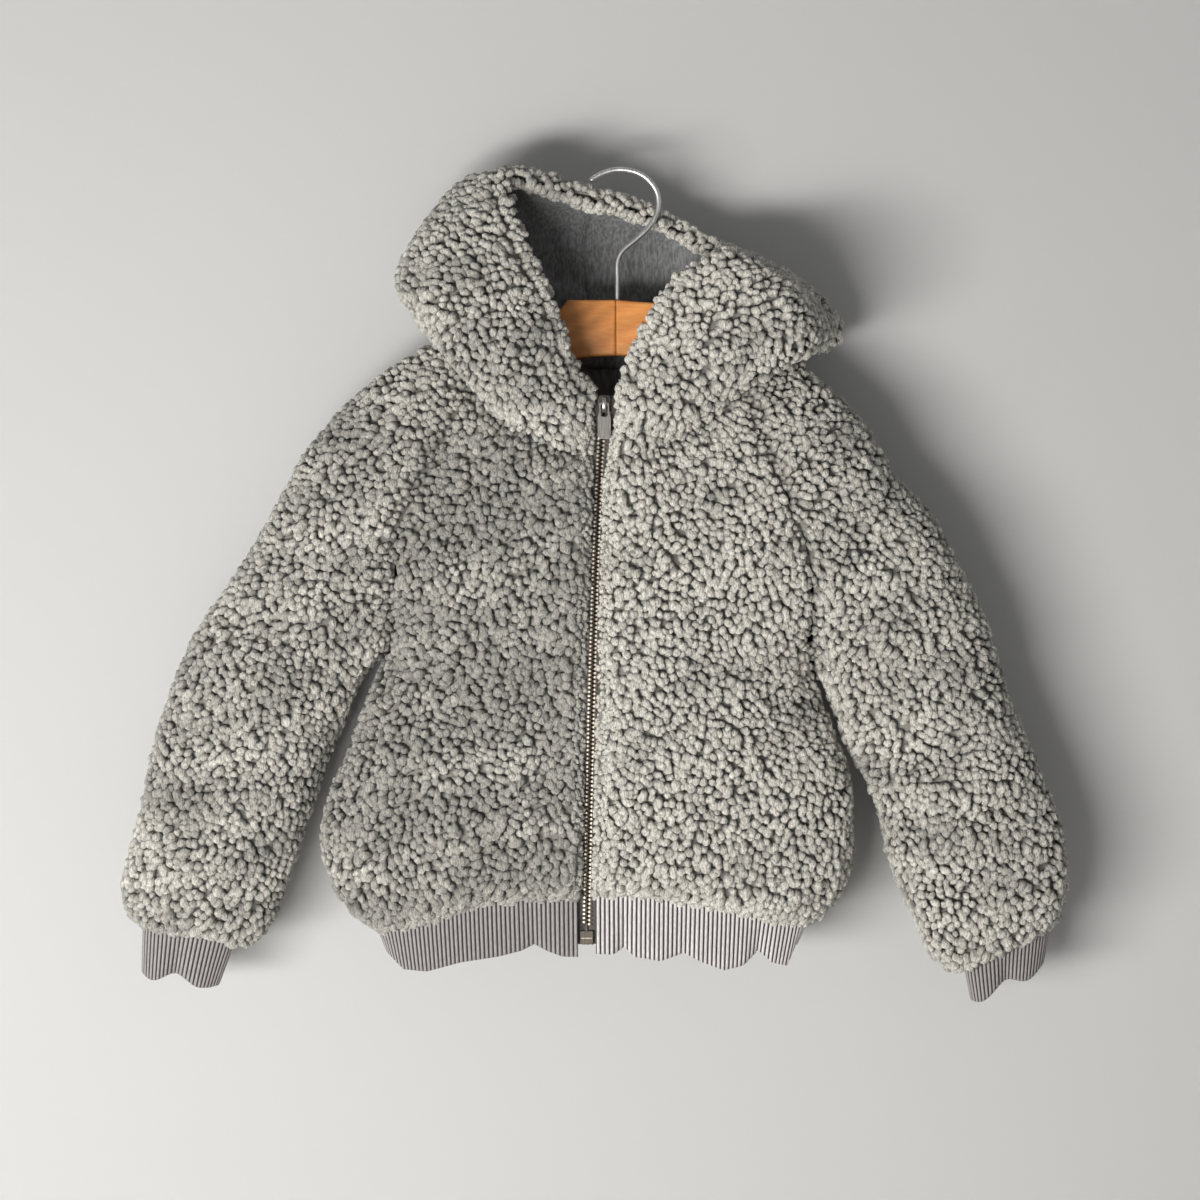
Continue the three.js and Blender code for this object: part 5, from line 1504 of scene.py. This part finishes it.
# %% Pull
pull_low, pull_high = (np.array(corner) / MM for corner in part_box("zip_pull"))
pull_x = (pull_low[0] + pull_high[0]) / 2
pull_top, pull_bottom = pull_high[2], pull_low[2]
NECK_HALF, TAB_HALF = 3.3, 4.5
right_side = [
    (0.0, 0.0), (NECK_HALF * 0.75, -0.1), (NECK_HALF, -0.7), (NECK_HALF, -2.5), (NECK_HALF, -5.0), (3.5, -7.0),
    (4.2, -8.9), (TAB_HALF, -10.4), (TAB_HALF, -14.0), (TAB_HALF, -18.0), (TAB_HALF, -22.0),
    (4.25, -24.0), (3.4, -24.7), (0.0, -24.7),
]
right_slot = [
    (0.0, -1.4), (1.3, -1.45), (2.0, -1.7), (2.3, -2.6), (2.3, -4.0), (2.3, -5.4), (2.3, -6.8), (2.3, -8.0),
    (2.15, -8.8), (1.8, -9.3), (1.3, -9.6), (0.85, -9.7), (0.4, -9.75), (0.0, -9.75),
]


def both_sides(half):
    half = np.asarray(half, float)
    full = np.concatenate([half, half[-2:0:-1] * [-1, 1]])
    return full[::-1] + [pull_x, pull_top]


pull_mesh = plate("zip_pull_tab", both_sides(right_side), pull_low[1], pull_high[1] - pull_low[1],
                  hole=both_sides(right_slot), crown=0.62)
soften(new_piece("zip_pull_tab", pull_mesh, NICKEL, "pull", ["zip_pull"]), 0.28)
print("pull from z", round(pull_top, 1), "to", round(pull_bottom, 1))

# %% Box at the foot of the zip
box_low, box_high = (np.array(corner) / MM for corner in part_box("zip_box"))
box_middle = (box_low + box_high) / 2
box_mesh = plate("zip_foot_box", rounded_box(box_middle[[0, 2]], (4.6, 4.6), 0.8), box_low[1],
                 box_high[1] - box_low[1], crown=0.15)
soften(new_piece("zip_foot_box", box_mesh, BRONZE, "garment", ["zip_box"]), 0.35)
pin_mesh = plate("zip_foot_rib", rounded_box(box_middle[[0, 2]] + [0, -0.4], (3.9, 0.55), 0.4),
                 box_low[1] - 0.5, 0.9, crown=0.6)
soften(new_piece("zip_foot_rib", pin_mesh, BRONZE, "garment"), 0.15)

# %% [markdown]
# ## Hanger
# The hanger is two pieces of flat lacquered wood glued in the middle, with rounded edges, and a
# steel wire bent to a hook. Each wood half is a rounded rectangle carried outwards from the middle,
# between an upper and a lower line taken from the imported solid.

# %% Wood
def wood_material():
    """Warm lacquered wood: long grain from stretched noise, faint darker bands, a satin coat."""
    material, tree, shader = new_material("lacquered wood", 0.42, coat=0.25)
    shader.inputs["Coat Roughness"].default_value = 0.25
    place = tree.nodes.new("ShaderNodeTexCoord")
    place.location = (-1300, 0)
    turn = add_node(tree, "ShaderNodeMapping", (-1100, 100), Scale=(0.16, 1.0, 1.0))
    grain = add_node(tree, "ShaderNodeTexNoise", (-850, 200), Scale=520.0, Detail=5.0, Roughness=0.65)
    bands_turn = add_node(tree, "ShaderNodeMapping", (-1100, -200), Scale=(1.0, 1.0, 1.0), Rotation=(0, 0.5, 0))
    bands = add_node(tree, "ShaderNodeTexWave", (-850, -150), Scale=26.0, Distortion=5.0, Detail=2.0)
    bands.bands_direction = "Z"
    ramp = add_node(tree, "ShaderNodeValToRGB", (-600, 200))
    ramp.color_ramp.elements[0].position = 0.32
    ramp.color_ramp.elements[0].color = (0.82, 0.285, 0.070, 1.0)
    ramp.color_ramp.elements[1].position = 0.68
    ramp.color_ramp.elements[1].color = (0.92, 0.405, 0.115, 1.0)
    figure = add_node(tree, "ShaderNodeValToRGB", (-600, -150))
    figure.color_ramp.elements[0].color = (0.84, 0.82, 0.80, 1.0)
    figure.color_ramp.elements[1].color = (1.0, 1.0, 1.0, 1.0)
    bump = add_node(tree, "ShaderNodeBump", (-300, -350), Strength=0.12, Distance=0.0005)
    link = tree.links.new
    link(place.outputs["Object"], turn.inputs["Vector"])
    link(place.outputs["Object"], bands_turn.inputs["Vector"])
    link(turn.outputs["Vector"], grain.inputs["Vector"])
    link(bands_turn.outputs["Vector"], bands.inputs["Vector"])
    link(grain.outputs["Fac"], ramp.inputs["Fac"])
    link(bands.outputs["Fac"], figure.inputs["Fac"])
    link(grain.outputs["Fac"], bump.inputs["Height"])
    link(bump.outputs["Normal"], shader.inputs["Normal"])
    final = multiply_colours(tree, ramp.outputs["Color"], figure.outputs["Color"], (-250, 100))
    link(final, shader.inputs["Base Color"])
    return material


WOOD = wood_material()
WOOD_STATIONS = 70
EDGE_RADIUS = 2.2
CORNER_POINTS = 5


def wood_lines(name, out):
    """Upper and lower line of a wood half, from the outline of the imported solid's front face."""
    points = node_points(name)
    face = points[points[:, 1] < points[:, 1].min() + 0.1][:, [0, 2]]
    face = np.unique(np.round(face, 2), axis=0)
    reach = out * face[:, 0]
    end = reach.max()
    end_z = face[reach > end - 4][:, 1].mean()
    middle = np.interp(reach, [0, end], [-107.0, end_z])
    upper, lower = face[face[:, 1] > middle], face[face[:, 1] <= middle]
    upper = upper[np.argsort(out * upper[:, 0])]
    lower = lower[np.argsort(out * lower[:, 0])]
    return upper, lower, end


def wood_half(name, out):
    """Rounded rectangles from the glue line outwards; the last ones shrink to close the end."""
    upper, lower, end = wood_lines(name, out)
    inside = (out * upper[:, 0]).min()
    share = np.linspace(0, 1, WOOD_STATIONS)
    reach = mix(inside, end - 0.4, share)
    top = np.interp(reach, out * upper[:, 0], upper[:, 1])
    bottom = np.interp(reach, out * lower[:, 0], lower[:, 1])
    bottom = np.minimum(bottom, top - 2 * EDGE_RADIUS - 0.5)
    turn = (np.repeat(np.arange(4), CORNER_POINTS)
            + np.tile(np.linspace(0, 1, CORNER_POINTS), 4)) * math.pi / 2
    corner = np.repeat(np.arange(4), CORNER_POINTS)
    sign_y = np.array([1, -1, -1, 1])[corner]
    sign_z = np.array([1, 1, -1, -1])[corner]
    half_height = (top - bottom)[:, None] / 2
    middle = (top + bottom)[:, None] / 2
    shrink = np.where(share > 0.97, np.sqrt(np.maximum(0.02, 1 - ((share - 0.97) / 0.03) ** 2)), 1)[:, None]
    shrink[0] = 1.0
    y = (sign_y * (6 - EDGE_RADIUS) + EDGE_RADIUS * np.cos(turn)) * shrink
    z = middle + (sign_z * (half_height - EDGE_RADIUS) + EDGE_RADIUS * np.sin(turn)) * shrink
    x = np.broadcast_to((out * reach)[:, None], z.shape)
    grid = np.stack([x, y, z], axis=-1)
    caps = np.stack([grid[0].mean(axis=0), grid[-1].mean(axis=0)])
    around = grid.shape[1]
    count = WOOD_STATIONS * around
    points = np.concatenate([grid.reshape(-1, 3), caps])
    quads = grid_quads(WOOD_STATIONS, around, closed=True)
    number = np.arange(around)
    after = (number + 1) % around
    first = np.stack([np.full(around, count), after, number], axis=-1)
    final = np.stack([np.full(around, count + 1), number, after], axis=-1)
    final[:, 1:] += count - around
    if out < 0:
        quads, first, final = quads[:, ::-1], first[:, ::-1], final[:, ::-1]
    return mesh_from(f"{name}_rounded", points, quads, np.concatenate([first, final]))


for side in ("right", "left"):
    name = f"hanger_wood_{side}"
    new_piece(f"{name}_rounded", wood_half(name, OUT[side]), WOOD, "garment", [name])

# %% Hook
WIRE_RADIUS = 1.8
HOOK_POINTS = np.array([
    (0.4, -87.7), (0.4, -74), (0.6, -61), (4.5, -53.5), (14, -45.5), (23, -36.5), (28.4, -25), (27.4, -13.5),
    (20.5, -4.2), (11, 0.7), (0, 1.8), (-9, -0.4), (-15.5, -3.8), (-19, -6.6),
])
STEEL = metal_material("polished steel wire", (0.90, 0.905, 0.91), (0.92, 0.925, 0.93), 0.38, 700.0)


def tube(name, line, radius, sides=16):
    """A round wire along a line in x and z: rings of points square to the line, a dome at each end."""
    ahead = unit(np.gradient(line, axis=0))
    beside = np.stack([-ahead[:, 1], ahead[:, 0]], axis=1)
    angle = 2 * math.pi * np.arange(sides) / sides
    thin = np.ones(len(line))
    thin[-4:] = [0.94, 0.80, 0.52, 0.06]
    off = radius * thin[:, None] * np.cos(angle)
    y = radius * thin[:, None] * np.sin(angle)
    x = line[:, :1] + beside[:, :1] * off
    z = line[:, 1:] + beside[:, 1:] * off
    grid = np.stack([x, y, z], axis=-1)
    rows = len(line)
    points = np.concatenate([grid.reshape(-1, 3), grid[:1].mean(axis=1), grid[-1:].mean(axis=1)])
    quads = grid_quads(rows, sides, closed=True)
    number = np.arange(sides)
    after = (number + 1) % sides
    first = np.stack([np.full(sides, rows * sides), after, number], axis=-1)
    final = np.stack([np.full(sides, rows * sides + 1), number + (rows - 1) * sides,
                      after + (rows - 1) * sides], axis=-1)
    return mesh_from(name, points, quads, np.concatenate([first, final]))


chord = np.concatenate([[0], np.cumsum(np.linalg.norm(np.diff(HOOK_POINTS, axis=0), axis=1) ** 0.5)])
hook_line = knot_weights(chord, np.linspace(0, chord[-1], 130)) @ HOOK_POINTS
hook_line[0, 1] = -92.0
hook_mesh = tube("hanger_hook_wire", hook_line, WIRE_RADIUS)
colour_points(hook_mesh, "crown", np.zeros((len(hook_mesh.vertices), 3)))
new_piece("hanger_hook_wire", hook_mesh, STEEL, "garment", ["hanger_hook"])

# %% [markdown]
# ## Topstitching
# A row of thread stitches holds the neck seam flat on each side. Each stitch is a small spindle that
# dips into the cloth at both ends. The pile hides some of them, as it does on the real jacket.

# %% Stitches along the neck seam
STITCH_LENGTH = 2.9
STITCH_PITCH = 3.7
STITCH_RADIUS = 0.42
STITCH_SIDES = 6


def stitch_mesh(name, middle, normals, along):
    """Spindles with three rings: radius and height follow sin(pi s) along each stitch."""
    s = np.array([0.02, 0.25, 0.5, 0.75, 0.98])
    girth = STITCH_RADIUS * (0.35 + 0.65 * np.sin(math.pi * s))
    rise = 0.55 * np.sin(math.pi * s) - 0.2
    side = np.cross(normals, along)
    line = (middle[:, None, :] + along[:, None, :] * ((s - 0.5) * STITCH_LENGTH)[:, None]
            + normals[:, None, :] * rise[:, None])
    angle = 2 * math.pi * np.arange(STITCH_SIDES) / STITCH_SIDES
    rings = (line[:, :, None, :] + side[:, None, None, :] * (girth[:, None] * np.cos(angle))[..., None]
             + normals[:, None, None, :] * (girth[:, None] * np.sin(angle))[..., None])
    count = len(middle)
    body = rings.reshape(count, -1, 3)
    points = np.concatenate([line[:, :1], body, line[:, -1:]], axis=1)
    each = points.shape[1]
    quads = grid_quads(len(s), STITCH_SIDES, closed=True) + 1
    ring = np.arange(STITCH_SIDES)
    first = np.stack([np.zeros(STITCH_SIDES, int), (ring + 1) % STITCH_SIDES + 1, ring + 1], axis=-1)
    last = each - 1 - STITCH_SIDES
    final = np.stack([np.full(STITCH_SIDES, each - 1), ring + last, (ring + 1) % STITCH_SIDES + last], axis=-1)
    shift = (np.arange(count) * each)[:, None, None]
    return mesh_from(name, points.reshape(-1, 3), (quads[None] + shift).reshape(-1, 4),
                     (np.concatenate([first, final])[None] + shift).reshape(-1, 3))


for side in ("right", "left"):
    panel = by_name[f"hood {side}"]
    points, normals, away, _ = panel_edge(panel, "bottom")
    line = points - normals * 2.0 + away * 2.4
    run = np.concatenate([[0], np.cumsum(np.linalg.norm(np.diff(line, axis=0), axis=1))])
    at = np.arange(STITCH_PITCH, run[-1] - STITCH_PITCH, STITCH_PITCH)
    middle, out = resample(line, normals, at)
    next_middle, _ = resample(line, normals, at + 0.5)
    along = unit(next_middle - middle)
    out = unit(out - along * dot(out, along))
    new_piece(f"neck_stitches_{side}", stitch_mesh(f"neck_stitches_{side}", middle, out, along), THREAD,
              "garment")


# %% [markdown]
# ## Room and light
# A pale wall stands close behind the jacket, as in the photograph, and a pale floor below it. The
# wall is clear from behind, so that the back can be looked at too. A large soft window at the upper
# left gives the gentle shade on the right of each fold, and the pale room fills the rest.

# %% Wall and floor
WALL_Y = 66.0
FLOOR_Z = -980.0


def stage_plane(name, corners, material):
    mesh = mesh_from(name, np.array(corners, float), np.array([[0, 1, 2, 3]]))
    mesh.materials.append(material)
    plane = bpy.data.objects.new(name, mesh)
    bpy.context.scene.collection.objects.link(plane)
    return plane


def wall_paint():
    material, tree, shader = new_material("pale wall paint", 0.9)
    shader.inputs["Base Color"].default_value = (0.575, 0.573, 0.567, 1.0)
    clear = tree.nodes.new("ShaderNodeBsdfTransparent")
    behind = tree.nodes.new("ShaderNodeNewGeometry")
    choose = tree.nodes.new("ShaderNodeMixShader")
    plaster = add_node(tree, "ShaderNodeTexNoise", (-600, -200), Scale=18.0, Detail=4.0)
    bump = add_node(tree, "ShaderNodeBump", (-300, -200), Strength=0.12, Distance=0.002)
    tree.links.new(plaster.outputs["Fac"], bump.inputs["Height"])
    tree.links.new(bump.outputs["Normal"], shader.inputs["Normal"])
    path = tree.nodes.new("ShaderNodeLightPath")
    either = tree.nodes.new("ShaderNodeMath")
    either.operation = "MAXIMUM"
    tree.links.new(behind.outputs["Backfacing"], either.inputs[0])
    tree.links.new(path.outputs["Is Shadow Ray"], either.inputs[1])
    tree.links.new(either.outputs[0], choose.inputs[0])
    tree.links.new(shader.outputs[0], choose.inputs[1])
    tree.links.new(clear.outputs[0], choose.inputs[2])
    tree.links.new(choose.outputs[0], tree.nodes["Material Output"].inputs["Surface"])
    return material


def floor_paint():
    material, tree, shader = new_material("pale floor", 0.85)
    shader.inputs["Base Color"].default_value = (0.70, 0.695, 0.685, 1.0)
    return material


back_wall = stage_plane("wall", [
    (-3000, WALL_Y, FLOOR_Z), (3000, WALL_Y, FLOOR_Z), (3000, WALL_Y, 2200), (-3000, WALL_Y, 2200),
], wall_paint())
floor = stage_plane("floor", [
    (-3000, -4000, FLOOR_Z), (3000, -4000, FLOOR_Z), (3000, 3000, FLOOR_Z), (-3000, 3000, FLOOR_Z),
], floor_paint())

# %% Lights
def area_light(name, place, aim, width, height, power, colour):
    """A soft window: a rectangle of light at a place, turned to its aim, both in metres."""
    data = bpy.data.lights.new(name, "AREA")
    data.shape = "RECTANGLE"
    data.size, data.size_y = width, height
    data.energy = power
    data.color = colour
    light = bpy.data.objects.new(name, data)
    light.location = place
    light.rotation_euler = (Vector(aim) - Vector(place)).to_track_quat("-Z", "Y").to_euler()
    bpy.context.scene.collection.objects.link(light)
    return light


area_light("window", (-0.9, -1.7, -0.79), (0.0, 0.0, -0.5), 1.3, 0.34, 40.0, (1.0, 0.985, 0.96))
area_light("room", (1.6, -2.6, 0.4), (0.0, 0.0, -0.3), 2.4, 2.4, 3.0, (0.95, 0.97, 1.0))
area_light("behind", (0.3, 2.2, 0.9), (0.0, 0.0, -0.3), 2.0, 2.0, 3.0, (1.0, 1.0, 1.0)).visible_camera = False
world = bpy.data.worlds.new("room")
world.use_nodes = True
world.node_tree.nodes["Background"].inputs["Color"].default_value = (0.98, 0.99, 1.0, 1.0)
world.node_tree.nodes["Background"].inputs["Strength"].default_value = 0.20
bpy.context.scene.world = world
bpy.context.scene.view_settings.view_transform = "Standard"
